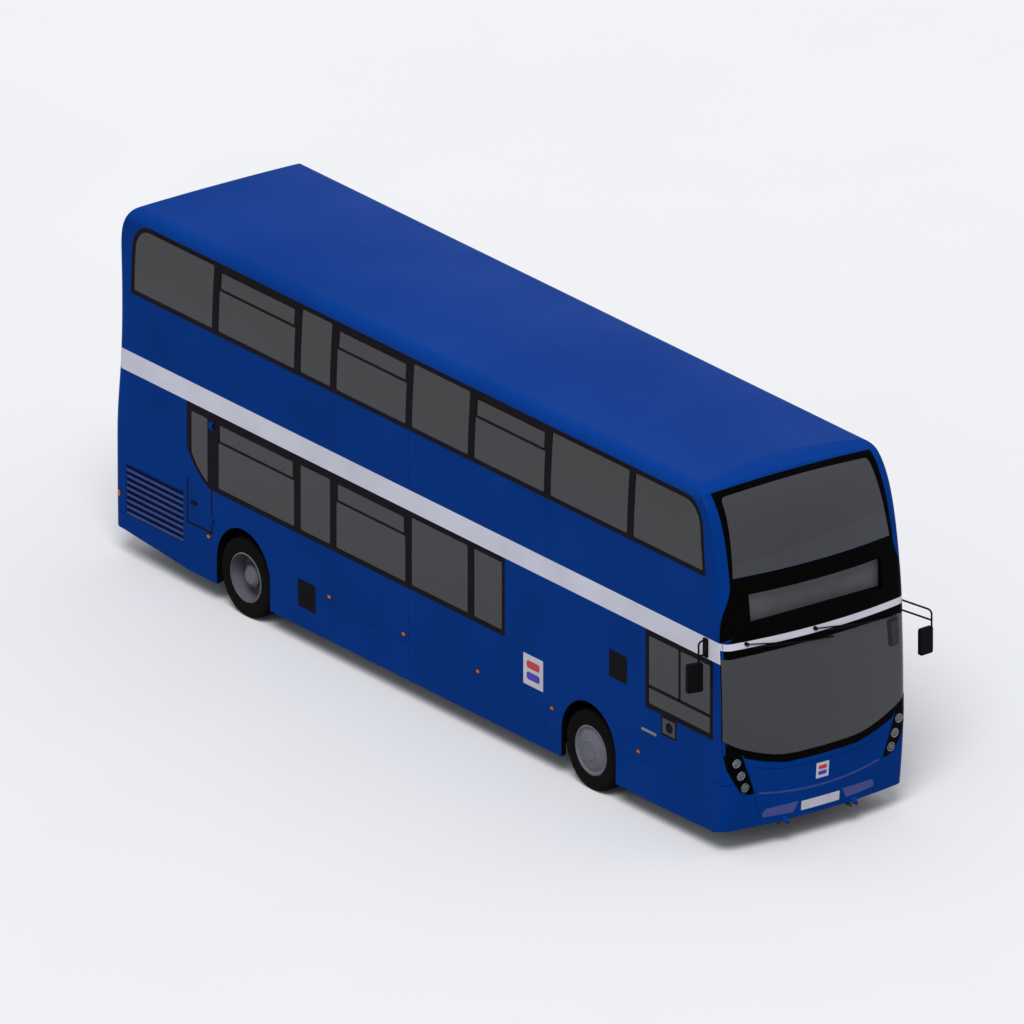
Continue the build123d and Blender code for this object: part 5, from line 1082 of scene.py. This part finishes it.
class SideFittings(Build, bpy.types.Operator):
    """Vents, side markers, the flap and handle by the cab, badge plates, louvres and panel seams."""
    bl_idname = "bus.side_fittings"
    bl_label = "Side fittings"

    def build(self, sizes):
        for name, hand in HANDS:
            self.vents(name, hand)
            self.markers(name, hand, sizes)
            badge("badge_" + name, side(hand), *SIDE_BADGE)
            self.seams(name, hand, sizes)
        self.by_the_cab()
        low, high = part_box("radiator_grille")
        slats = []
        for z in np.arange(low.z + 0.030, high.z - 0.01, sizes.louvre_pitch):
            along = run([(low.x + 0.012, z), (high.x - 0.012, z)], 12)
            slats.append(strip(side(-1), along - [0, 0.017], along + [0, 0.010], rise=-0.0045, sunk=0.012))
        piece("louvres", slats, "grille_pale")

    def vents(self, name, hand):
        """Framed square vents with level slats, one on the nearside and two on the offside."""
        place = side(hand)
        frames, wells, slats = [], [], []
        for x0, x1, z0, z1 in VENTS[:1 if hand > 0 else 2]:
            x0, x1 = at(x0), at(x1)
            frames.append(frame_of(place, (x0, x1, z0, z1), 0.016, 0.012, 0.008, rise=0.003, lip=0.002))
            wells.append(plate(place, box_outline(x0, x1, z0, z1, 0.008, inset=0.011), rise=0.0008))
            for z in np.arange(z0 + 0.034, z1 - 0.02, 0.024):
                slats.append(line(place, run([(x0 + 0.02, z), (x1 - 0.02, z)], 3), 0.008, rise=0.0024, steps=2))
        piece("vent_frames_" + name, frames, "plastic_black")
        piece("vent_wells_" + name, wells, "vent_dark")
        piece("vent_slats_" + name, slats, "plastic_black")

    def markers(self, name, hand, sizes):
        """Oval lamps along the side and one tall one at the tail's corner, each a rim and a crowned lens."""
        corner = hand * (tail.run + tail.quarter * 0.9)
        reach = sizes.marker
        lamps = [(side(hand), at(x), MARKER_Z, reach, 0.72, reach * 0.8, 0.66, 0.0045) for x in MARKERS]
        lamps.append((tail.wrap, corner, CORNER_MARKER_Z, 0.033, 1.6, 0.026, 1.7, 0.004))
        rims, lenses = [], []
        for place, a, z, reach, squash, lens, lens_squash, crown in lamps:
            rims.append(plate(place, circle(a, z, reach, 28, squash), rise=0.003, soften=0.0006))
            lenses.append(plate(place, circle(a, z, lens, 28, lens_squash), rise=0.0034, crown=crown, sunk=-0.002,
                                rings=6))
        piece("marker_rims_" + name, rims, "plastic_black")
        piece("marker_lenses_" + name, lenses, "lens_amber")

    def seams(self, name, hand, sizes):
        """Between the wheels along the skirt, and upright on both decks."""
        arch = 0.53
        stops = [(REAR_SEAM + 0.01, REAR_AXLE - arch, 20), (REAR_AXLE + arch, FRONT_AXLE - arch, 30),
                 (FRONT_AXLE + arch, at(1.00) if hand > 0 else at(2.30), 12)]
        ways = [run([(x0, SKIRT_SEAM_Z), (x1, SKIRT_SEAM_Z)], count) for x0, x1, count in stops]
        for x in SEAMS:
            ways += [run([(at(x), z0), (at(x), z1)], 12) for z0, z1 in SEAM_ENDS]
        piece("panel_seams_" + name, [line(side(hand), way, sizes.seam * 0.6, rise=0.0005) for way in ways],
              "seam_line")

    def by_the_cab(self):
        """The charging flap with its panel and round socket cover, and a long handle."""
        place = side(-1)
        x0, x1, z0, z1 = CHARGING_FLAP
        border = frame_of(place, CHARGING_FLAP, 0.014, 0.022, 0.008, rise=0.004, lip=0.003)
        piece("charging_flap", [border], "plastic_black")
        panel = box_outline(*CHARGING_FLAP, 0.008, inset=0.021)
        piece("flap_panel", [plate(place, panel, rise=0.0015)], "plastic_grey")
        socket = circle((x0 + x1) / 2 + 0.01, (z0 + z1) / 2, 0.062, 36)
        piece("flap_round", [plate(place, socket, rise=0.004, crown=-0.002, sunk=-0.001)], "vent_dark")
        edge = box_outline(*SIDE_HANDLE, 0.0175)
        piece("side_handle", [plate(place, edge, rise=0.006, crown=0.004, rings=5, soften=0.002)], "handle_grey")


class EmergencyDoor(Build, bpy.types.Operator):
    """On the emergency door: black borders, the curved sash under its glass, edge lines and a handle."""
    bl_idname = "bus.emergency_door"
    bl_label = "Emergency door trims"

    def build(self, sizes):
        place, body = side(-1), "emergency_door"
        low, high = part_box("emergency_door_glass")
        x0, x1 = EMERGENCY_REAR + 0.0065, EMERGENCY_FRONT - 0.0035
        top, foot = sizes.stripe_foot - 0.007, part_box("emergency_door")[0].z + 0.001
        piece("emergency_border", pane_row(place, [(low, high)], x0, x1, low.z - 0.05, top), "band_black", body)
        sash = curve([(x0 + 0.001, 1.775), (at(-7.53), 1.730), (at(-7.437), 1.60), (at(-7.332), 1.50),
                      (at(-7.265), 1.45), (at(-7.174), 1.40), (x1 - 0.001, 1.366)], 44)
        corner = strip(place, level(sash[:, 0], low.z - 0.052), sash, rise=0.0024, sunk=0.0005, steps=8)
        piece("emergency_corner", [corner], "paint_blue", body)
        piece("emergency_sash", [line(place, sash[:-1], 0.028, rise=0.0042, sunk=-0.0005, steps=3)], "band_black", body)
        in_x = 0.0105
        edges = [run([(x0 + in_x, foot), (x0 + in_x, 1.76)], 16), run([(x1 - in_x, foot), (x1 - in_x, 1.37)], 16),
                 run([(x0, foot + 0.008), (x1, foot + 0.008)], 10)]
        piece("emergency_edges", [line(place, way, 0.024, rise=0.0016) for way in edges], "band_black", body,
              "trim_black")
        edge = box_outline(*EMERGENCY_HANDLE, 0.02)
        piece("emergency_handle", [plate(place, edge, rise=0.010, crown=0.003, soften=0.002)], "plastic_black", body)


class Rear(Build, bpy.types.Operator):
    """At the tail: the band round the upper window, lamps, louvres, a handle, a blank plate, reflectors and
    panel lines."""
    bl_idname = "bus.rear"
    bl_label = "Rear trims"

    def build(self, sizes):
        face, cover = tail.face, "engine_cover"
        self.window_band(*REAR_PANE, TOP - 1.003, TOP - 0.290)
        self.lamps()
        half = sizes.plate_width / 2
        edge = box_outline(-half - 0.03, half + 0.03, *REAR_HOLDER_Z, 0.016)
        piece("rear_plate_holder", [plate(face, edge, rise=0.004)], "plastic_black", cover)
        edge = box_outline(-half, half, *REAR_PLATE_Z, 0.012)
        piece("rear_plate", [plate(face, edge, rise=0.007, sunk=-0.0035)], "plate_white", cover)
        y = np.linspace(-COVER_LOUVRE_Y, COVER_LOUVRE_Y, 24)
        slats = [strip(face, level(y, z), level(y, z + 0.020), rise=0.0035, steps=3) for z in LOUVRE_ROWS]
        piece("cover_louvres", slats, "grille_pale", cover)
        edge = box_outline(*COVER_HANDLE, 0.018)
        piece("cover_handle", [plate(face, edge, rise=0.012, crown=0.003, soften=0.002)], "plastic_black", cover)
        girth = tail.girth(np.linspace(-1.24, 1.24, 80))
        piece("rear_panel_lines", [line(tail.wrap, level(girth, z), sizes.seam) for z in REAR_LINES_Z], "seam_line")
        edges = [box_outline(hand * 0.98, hand * 1.12, *REFLECTOR_Z, 0.008) for hand in (1, -1)]
        reflectors = [plate(face, edge, rise=0.006, soften=0.001) for edge in edges]
        piece("rear_reflectors", reflectors, "lens_red")

    def window_band(self, foot, head, low, high):
        """Round a pane whose half widths at foot and head are given."""
        pane = [(-foot, low), (foot, low), (head, high), (-head, high)]
        foot, head, low, high = foot + 0.065, head + 0.062, low - 0.060, high + 0.055
        cell = [(-foot, low), (foot, low), (head, high), (-head, high)]
        piece("rear_window_band", [band(tail.face, outline(cell, [0.1, 0.1, 0.16, 0.16], per_side=22),
                                        outline(pane, [0.060, 0.060, 0.120, 0.120], per_side=22), lip=0.0047)],
              "band_black")

    def lamps(self):
        """Four round lamps a side, each a rubber ring and a crowned lens."""
        rings, lenses = [], {"red": [], "amber": [], "clear": []}
        for hand in (1, -1):
            for colour, z in TAIL_LAMPS:
                y = hand * TAIL_LAMP_Y
                seat = (tail.face(np.array(y), np.array(z))[0], y, z)
                rings.append(turned_ring([(0.0500, -0.010), (0.0505, 0.006), (0.0555, 0.009), (0.0605, 0.004),
                                          (0.0600, -0.004)], seat, BACKWARD, 44))
                lenses[colour].append(turned([(0, 0.016), (0.020, 0.0145), (0.038, 0.009), (0.0495, 0.000),
                                              (0.0500, -0.010), (0, -0.012)], seat, BACKWARD, 40))
        piece("tail_lamp_rings", rings, "plastic_black")
        for colour, sheets in lenses.items():
            piece(f"tail_lamp_{colour}_lenses", sheets, "lens_" + colour)


class EntranceDoors(Build, bpy.types.Operator):
    """On the entrance leaves: rubber edges, grab handles inside and a frame round each glass."""
    bl_idname = "bus.entrance_doors"
    bl_label = "Entrance door trims"

    def build(self, sizes):
        for name, hinge_ahead in (("front", True), ("rear", False)):
            body = f"entrance_{name}_door"
            low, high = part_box(f"entrance_{name}_leaf")
            pane_low, pane_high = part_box(f"entrance_{name}_glass")
            outer, inside = high.y, low.y
            flat = lambda x, z, out=0.0: np.stack(np.broadcast_arrays(x, outer + out, z), -1)
            pane = pane_low.x, pane_high.x, pane_low.z, pane_high.z
            ring = band(flat, box_outline(*pane, 0.040, inset=-0.016), box_outline(*pane, 0.026, inset=0.004),
                        rise=0.0025)
            piece(f"entrance_{name}_glass_frame", [ring], "rubber_seal", body)
            meet = low.x + 0.010 if hinge_ahead else high.x - 0.010
            z = np.linspace(low.z + 0.004, high.z - 0.004, 30)
            piece(f"entrance_{name}_edge_rubber", [line(flat, upright(meet, z), 0.018, rise=0.003, steps=4)],
                  "rubber_seal", body)
            x = pane_high.x - 0.05 if hinge_ahead else pane_low.x + 0.05
            stand = ((0.001, 0.98), (-0.03, 1.00), (-0.034, 1.06), (-0.034, 1.34), (-0.03, 1.40), (0.001, 1.42))
            way = curve([(x, inside + out, z) for out, z in stand], 40)
            piece(f"entrance_{name}_handle", [pipe(way, 0.011, 14)], "rail_yellow", body)


class Wheels(Build, bpy.types.Operator):
    """Tyres with grooved and cut treads, linings in the arches, rings and marks on the front wheels and
    nuts on the rear ones."""
    bl_idname = "bus.wheels"
    bl_label = "Tyres and wheels"

    def build(self, sizes):
        for end, x in (("front", FRONT_AXLE), ("rear", REAR_AXLE)):
            for name, hand in HANDS:
                wheel = f"{end}_{name}"
                body = wheel + "_wheel"
                node = wheel + ("_tyres" if end == "rear" else "_tyre")
                low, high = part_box(node)
                width, centres = high.y - low.y, [(low.y + high.y) / 2]
                if end == "rear":
                    width = (width - TWIN_GAP) / 2
                    centres = [low.y + width / 2, high.y - width / 2]
                made = piece(node + "_tread", [tyre((x, y, AXLE_Z), width, AXLE_Z, sizes) for y in centres],
                             "rubber_tyre", body, angle=28)
                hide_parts(node)
                piece(wheel + "_arch_lining", [arch_lining(x, hand)], "arch_black")
                if end == "rear":
                    piece(wheel + "_mudguard", [arch_lining(x, hand, 0.505, 0.0605, 0.600)], "arch_black")
                    self.nuts(wheel, body, x, hand, sizes)
                else:
                    rim = [(0.268, -0.004), (0.271, 0.004), (0.279, 0.007), (0.2865, 0.0035), (0.288, -0.005)]
                    ring = turned_ring(rim, (x, hand * (WHEEL_Y + 0.118), AXLE_Z), (0, hand, 0), 72)
                    piece(wheel + "_rim_ring", [ring], "steel_plain", body)
                    marks = dashes(x, hand, self.cover(wheel + "_rim", x, hand), HUB_MARK_R, 10)
                    piece(wheel + "_hub_marks", marks, "plastic_grey", body, "trim_dark")

    def nuts(self, wheel, body, x, hand, sizes):
        """A circle of six-sided nuts with washers on a rear wheel."""
        surface, radius, made = self.cover(wheel + "_rim", x, hand), NUT_CIRCLE_R, []
        for n in range(sizes.nuts):
            angle = 2 * pi * n / sizes.nuts
            centre = (x + radius * cos(angle), hand * (surface(radius) - 0.002), AXLE_Z + radius * sin(angle))
            made.append(turned([(0, 0.030), (0.010, 0.030), (0.0155, 0.026), (0.0165, 0.024), (0.0165, 0.004),
                                (0.022, 0.003), (0.022, 0), (0, 0)], centre, (0, hand, 0), 6))
        piece(wheel + "_wheel_nuts", made, "steel_plain", body, smooth=False)

    def cover(self, node, x, hand):
        """Stand-off from the centreline of a rim's outer face at a radius, by a level ray."""
        depsgraph = bpy.context.evaluated_depsgraph_get()

        def surface(radius):
            start = (x + radius * 0.98, 3 * hand, AXLE_Z + radius * 0.2)
            hit, where, _, _ = NODES[node].ray_cast(start, (0, -hand, 0), depsgraph=depsgraph)
            return abs(where.y) if hit else WHEEL_Y + 0.1
        return surface


def arch_lining(x, hand, radius=ARCH_R, outer=0.0012, inner=0.0595):
    """A thin lining inside a wheel arch: up, over in a half circle and down, between two depths."""
    t = np.linspace(0, pi, 40)
    inward = np.stack([-np.cos(t), 0 * t, -np.sin(t)], 1)
    path = np.array([x, 0, ARCH_Z]) - radius * inward
    drop = [0, 0, ARCH_Z - SKIRT_Z]
    path = np.concatenate([[path[0] - drop], path, [path[-1] - drop]])
    inward = np.concatenate([inward[:1], inward, inward[-1:]])
    outer, inner, thin, thick = hand * (HALF - outer), hand * (HALF - inner), 0.0003, 0.004
    rows = [path + inward * lift + [0, y, 0]
            for y, lift in ((outer, thin), (outer, thick), (inner, thick), (inner, thin))]
    grid = np.stack(rows, 1)
    caps = grid.mean(1, keepdims=True) + 0 * grid
    return np.concatenate([caps[:1], grid, caps[-1:]]), False, True


def dashes(x, hand, surface, radius, count):
    """Short flat arcs round a hub cover."""
    made = []
    stand = surface(radius)
    place = lambda a, b, out=0.0: np.stack(np.broadcast_arrays(a, hand * (stand + out), b), -1)
    for n in range(count):
        t = np.linspace(n, n + 0.45, 6) * 2 * pi / count
        inner, outer = [np.stack([x + r * np.cos(t), AXLE_Z + r * np.sin(t)], 1)
                        for r in (radius - 0.004, radius + 0.004)]
        made.append(strip(place, inner, outer, sunk=0.004, steps=1))
    return made


def tyre(centre, width, radius, sizes):
    """A tyre turned about its axle: a rounded section whose tread carries four grooves, and whose
    shoulders drop by a share of the tread depth in cuts at even angles."""
    w = width / 2
    bead = 0.296
    # Radius and share of the half width up the wall; then shares and which of them are in a groove.
    wall = [(bead, -0.72), (bead, -0.913), (bead + 0.012, -0.985), (bead + 0.024, -0.995), (bead + 0.040, -0.985),
            (bead + 0.046, -0.998), (bead + 0.085, -1.0), (radius - 0.085, -0.998), (radius - 0.055, -0.985),
            (radius - 0.050, -0.972), (radius - 0.030, -0.945), (radius - 0.014, -0.900)]
    tread = [(-0.84, 0), (-0.70, 0), (-0.56, 0), (-0.545, 1), (-0.495, 1), (-0.48, 0), (-0.33, 0), (-0.21, 0),
             (-0.195, 1), (-0.145, 1), (-0.13, 0), (0.0, 0)]
    crown = lambda y: radius - 0.0105 * abs(y) ** 2.6
    half = [(r, y, 0.0) for r, y in wall]
    half += [(crown(y) - deep * sizes.tread, y, 0.0 if deep else 1.0) for y, deep in tread]
    profile = np.array(half + [(r, -y, cut) for r, y, cut in half[-2::-1]])
    per_block = 6
    count = sizes.blocks * per_block
    t = np.arange(count) * 2 * pi / count
    step = np.arange(count) % per_block
    out = np.abs(profile[:, 1])
    shoulder = np.clip((out - 0.52) / 0.06, 0, 1) * profile[:, 2]
    shoulder = shoulder + np.where((out > 0.88) & (out < 0.95), 0.8, 0)
    r = profile[:, :1] - sizes.tread * 0.7 * shoulder[:, None] * np.where(step < 2, 1.0, 0.0)[None]
    y = np.broadcast_to(profile[:, 1:2] * w, r.shape)
    grid = np.stack([centre[0] + r * np.cos(t), centre[1] + y, centre[2] + r * np.sin(t)], -1)
    return grid, True, True


class Mirrors(Build, bpy.types.Operator):
    """Glass and rims on the door mirrors."""
    bl_idname = "bus.mirrors"
    bl_label = "Mirror glass"

    def build(self, sizes):
        glasses, rims = [], []
        for centre, width, height, thick, turn in MIRROR_HEADS:
            turn = radians(turn)
            back, across = np.array([-cos(turn), -sin(turn), 0]), np.array([-sin(turn), cos(turn), 0])
            middle = np.array(centre) + back * thick / 2

            def place(a, b, out=0.0, middle=middle, back=back, across=across):
                a, b, out = np.broadcast_arrays(a, b, out)
                return middle + a[..., None] * across + b[..., None] * np.array([0, 0, 1.0]) + out[..., None] * back

            w, h = width / 2 - 0.012, height / 2 - 0.012
            edges = -w, w, -h, h
            glasses.append(plate(place, box_outline(*edges, 0.03, inset=0.006), rise=0.001, sunk=0.012))
            rims.append(frame_of(place, edges, 0.034, 0.007, 0.029, rise=0.003, lip=0.003, sunk=0.012))
        piece("mirror_glass", glasses, "mirror_glass")
        piece("mirror_rims", rims, "plastic_black")


class Seats(Build, bpy.types.Operator):
    """Crowned cushions and backs on moulded shells with grab rails, in the space of the plain seats."""
    bl_idname = "bus.seats"
    bl_label = "Seats"

    def build(self, sizes):
        for deck in ("lower", "upper"):
            cushions, backs, shells, grabs = [], [], [], []
            for hand in (1, -1):
                for low, high in clusters(deck + "_seats", hand, gap=0.02):
                    self.bench(low, high, cushions, backs, shells, grabs)
            made = piece(deck + "_seat_shells", shells, "seat_shell")
            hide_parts(deck + "_seats")
            for label, sheets in (("cushions", cushions), ("backs", backs)):
                piece(f"{deck}_seat_{label}", sheets, "seat_cloth", angle=60)
            piece(deck + "_seat_handles", grabs, "rail_yellow")
        self.driver_seat(*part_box("driver_seat"))

    def driver_seat(self, low, high):
        """A cushion, a leant back and their base."""
        seat_z = 0.90
        pad = cushion((low.x + 0.02, low.y + 0.02, seat_z - 0.02), (high.x, high.y - 0.02, seat_z + 0.085), 0.35,
                      0.012)
        back = cushion((low.x + 0.06, low.y + 0.03, seat_z + 0.05),
                       (low.x + 0.17, high.y - 0.03, high.z - 0.01), 0.4, 0.0, 0.09)
        base = cushion((low.x + 0.03, low.y + 0.05, low.z), (high.x - 0.06, high.y - 0.05, seat_z - 0.01), 0.2)
        made = piece("driver_seat_base", [base], "trim_dark")
        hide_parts("driver_seat")
        for label, sheet in (("cushion", pad), ("back", back)):
            piece("driver_seat_" + label, [sheet], "seat_cloth", angle=60)

    def bench(self, low, high, cushions, backs, shells, grabs):
        """One double seat in its box: its back rises from the rear edge, above the cushion line."""
        (x0, y0, z0), (x1, y1, z1) = low, high
        seat_z, back_x, middle = z0 + 0.43, x0 + 0.13, (y0 + y1) / 2
        foot = [y0 + 0.03, y1 - 0.03]
        if z0 < LOWER_HEAD and x0 < REAR_AXLE + WHEEL_BOX and x1 > REAR_AXLE - WHEEL_BOX:
            foot = np.clip(foot, TWIN_INNER - HALF, HALF - TWIN_INNER)
        shells.append(cushion((x0 + 0.03, foot[0], z0 + 0.001), (x1 - 0.03, foot[1], seat_z - 0.09), 0.12,
                              rows=10, columns=16))
        shells.append(cushion((x0 + 0.004, y0 + 0.006, seat_z - 0.10), (x0 + 0.036, y1 - 0.006, z1 - 0.006), 0.2,
                              rows=10, columns=24))
        for a, b in ((y0, middle), (middle, y1)):
            cushions.append(cushion((x0 + 0.035, a + 0.008, seat_z - 0.10), (x1 - 0.004, b - 0.008, seat_z), 0.34,
                                    0.006))
            backs.append(cushion((x0 + 0.034, a + 0.010, seat_z - 0.02), (back_x - 0.014, b - 0.010, z1 - 0.012),
                                 0.36, 0.006))
        stops = ((y0 + 0.05, 0.03), (y0 + 0.06, 0.012), (middle, 0.012), (y1 - 0.06, 0.012), (y1 - 0.05, 0.03))
        grabs.append(pipe(curve([(x0 + 0.018, y, z1 - drop) for y, drop in stops], 28), 0.0115, 10))


class Stage(Build, bpy.types.Operator):
    """Floor, sky, sun and camera."""
    bl_idname = "bus.stage"
    bl_label = "Stage"

    def build(self, sizes):
        scene = bpy.context.scene
        count = 9
        reach = np.linspace(-600, 600, count)
        grid = np.stack(np.broadcast_arrays(reach[:, None], reach[None], -0.0005), -1)
        mesh = bpy.data.meshes.new("floor")
        faces = grid_faces(count, count, False, False)[:, ::-1]
        mesh.from_pydata(grid.reshape(-1, 3).tolist(), [], faces.tolist())
        floor = bpy.data.objects.new("floor", mesh)
        scene.collection.objects.link(floor)
        mesh.materials.append(self.floor_material(scene.bus_colours.floor))
        self.sky(scene, sizes, scene.bus_colours.floor)
        light = bpy.data.lights.new("sun", "SUN")
        light.energy, light.angle = sizes.sun_power, radians(28)
        sun = bpy.data.objects.new("sun", light)
        sun.rotation_euler = Vector((0.42, -0.40, 0.81)).to_track_quat("Z", "Y").to_euler()
        scene.collection.objects.link(sun)
        film, span = 36, 11.544     # width of the film, and of what it shows at the bus
        lens = bpy.data.cameras.new("camera")
        lens.type, lens.lens, lens.sensor_width = "PERSP", sizes.camera_lens, film
        lens.clip_start, lens.clip_end = 1, 4000
        eye = bpy.data.objects.new("camera", lens)
        back = Vector((4, -3, 2)).normalized()
        eye.location = Vector((-0.02, 0, 2.06)) + back * span * sizes.camera_lens / film
        eye.rotation_euler = back.to_track_quat("Z", "Y").to_euler()
        scene.collection.objects.link(eye)
        scene.camera = eye
        scene.view_settings.view_transform = "Standard"

    def floor_material(self, colour):
        """Pale to the eye and in reflections, darker to the light it gives back, with soft unevenness."""
        material = bpy.data.materials.new("floor_pale")
        material.use_nodes = True
        tree = material.node_tree
        shader = tree.nodes["Principled BSDF"]
        shader.inputs["Roughness"].default_value = 0.9
        shader.inputs["Specular IOR Level"].default_value = 0.1
        other = tuple(0.985 * part for part in colour) + (1,)
        tone = placed(tree, mottle_group(), Colour=(*colour, 1), Other=other, Scale=0.3)
        dim = tuple(0.45 * part for part in colour) + (1,)
        tree.links.new(mixed(tree, seen_rays(tree), dim, tone.outputs["Colour"]), shader.inputs["Base Color"])
        return material

    def sky(self, scene, sizes, colour):
        """Even light; a pale backdrop to the eye, in reflections and through glass."""
        world = bpy.data.worlds.new("studio")
        scene.world = world
        world.use_nodes = True
        tree = world.node_tree
        light = tree.nodes["Background"]
        light.inputs["Color"].default_value = (0.93, 0.95, 1.0, 1)
        light.inputs["Strength"].default_value = sizes.sky_power
        drop = tree.nodes.new("ShaderNodeBackground")
        drop.inputs["Color"].default_value = (*colour, 1)
        mix = tree.nodes.new("ShaderNodeMixShader")
        tree.links.new(seen_rays(tree), mix.inputs[0])
        tree.links.new(light.outputs[0], mix.inputs[1])
        tree.links.new(drop.outputs[0], mix.inputs[2])
        tree.links.new(mix.outputs[0], tree.nodes["World Output"].inputs["Surface"])


OPERATORS = [FinishNodes, Stripe, SideWindows, FrontMask, FrontHatch, SideFittings, EmergencyDoor, Rear, EntranceDoors,
             Wheels, Mirrors, Seats, Stage]


class BusPanel(bpy.types.Panel):
    """Sizes, colours and the pieces that can be built."""
    bl_idname = "VIEW3D_PT_bus"
    bl_label = "Double-decker bus"
    bl_space_type = "VIEW_3D"
    bl_region_type = "UI"
    bl_category = "Bus"

    def draw(self, context):
        for group in (context.scene.bus_sizes, context.scene.bus_colours):
            box = self.layout.box()
            for name in group.bl_rna.properties.keys():
                if name not in ("rna_type", "name"):
                    box.prop(group, name)
        for operator in OPERATORS:
            self.layout.operator(operator.bl_idname)


CLASSES = [BusSizes, BusColours, *OPERATORS, BusPanel]


def register():
    for group in CLASSES:
        bpy.utils.register_class(group)
    bpy.types.Scene.bus_sizes = bpy.props.PointerProperty(type=BusSizes)
    bpy.types.Scene.bus_colours = bpy.props.PointerProperty(type=BusColours)


def unregister():
    del bpy.types.Scene.bus_colours
    del bpy.types.Scene.bus_sizes
    for group in reversed(CLASSES):
        bpy.utils.unregister_class(group)


def main():
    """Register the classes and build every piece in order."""
    register()
    for operator in OPERATORS:
        module, name = operator.bl_idname.split(".")
        getattr(getattr(bpy.ops, module), name)()


if __name__ == "__main__":
    main()
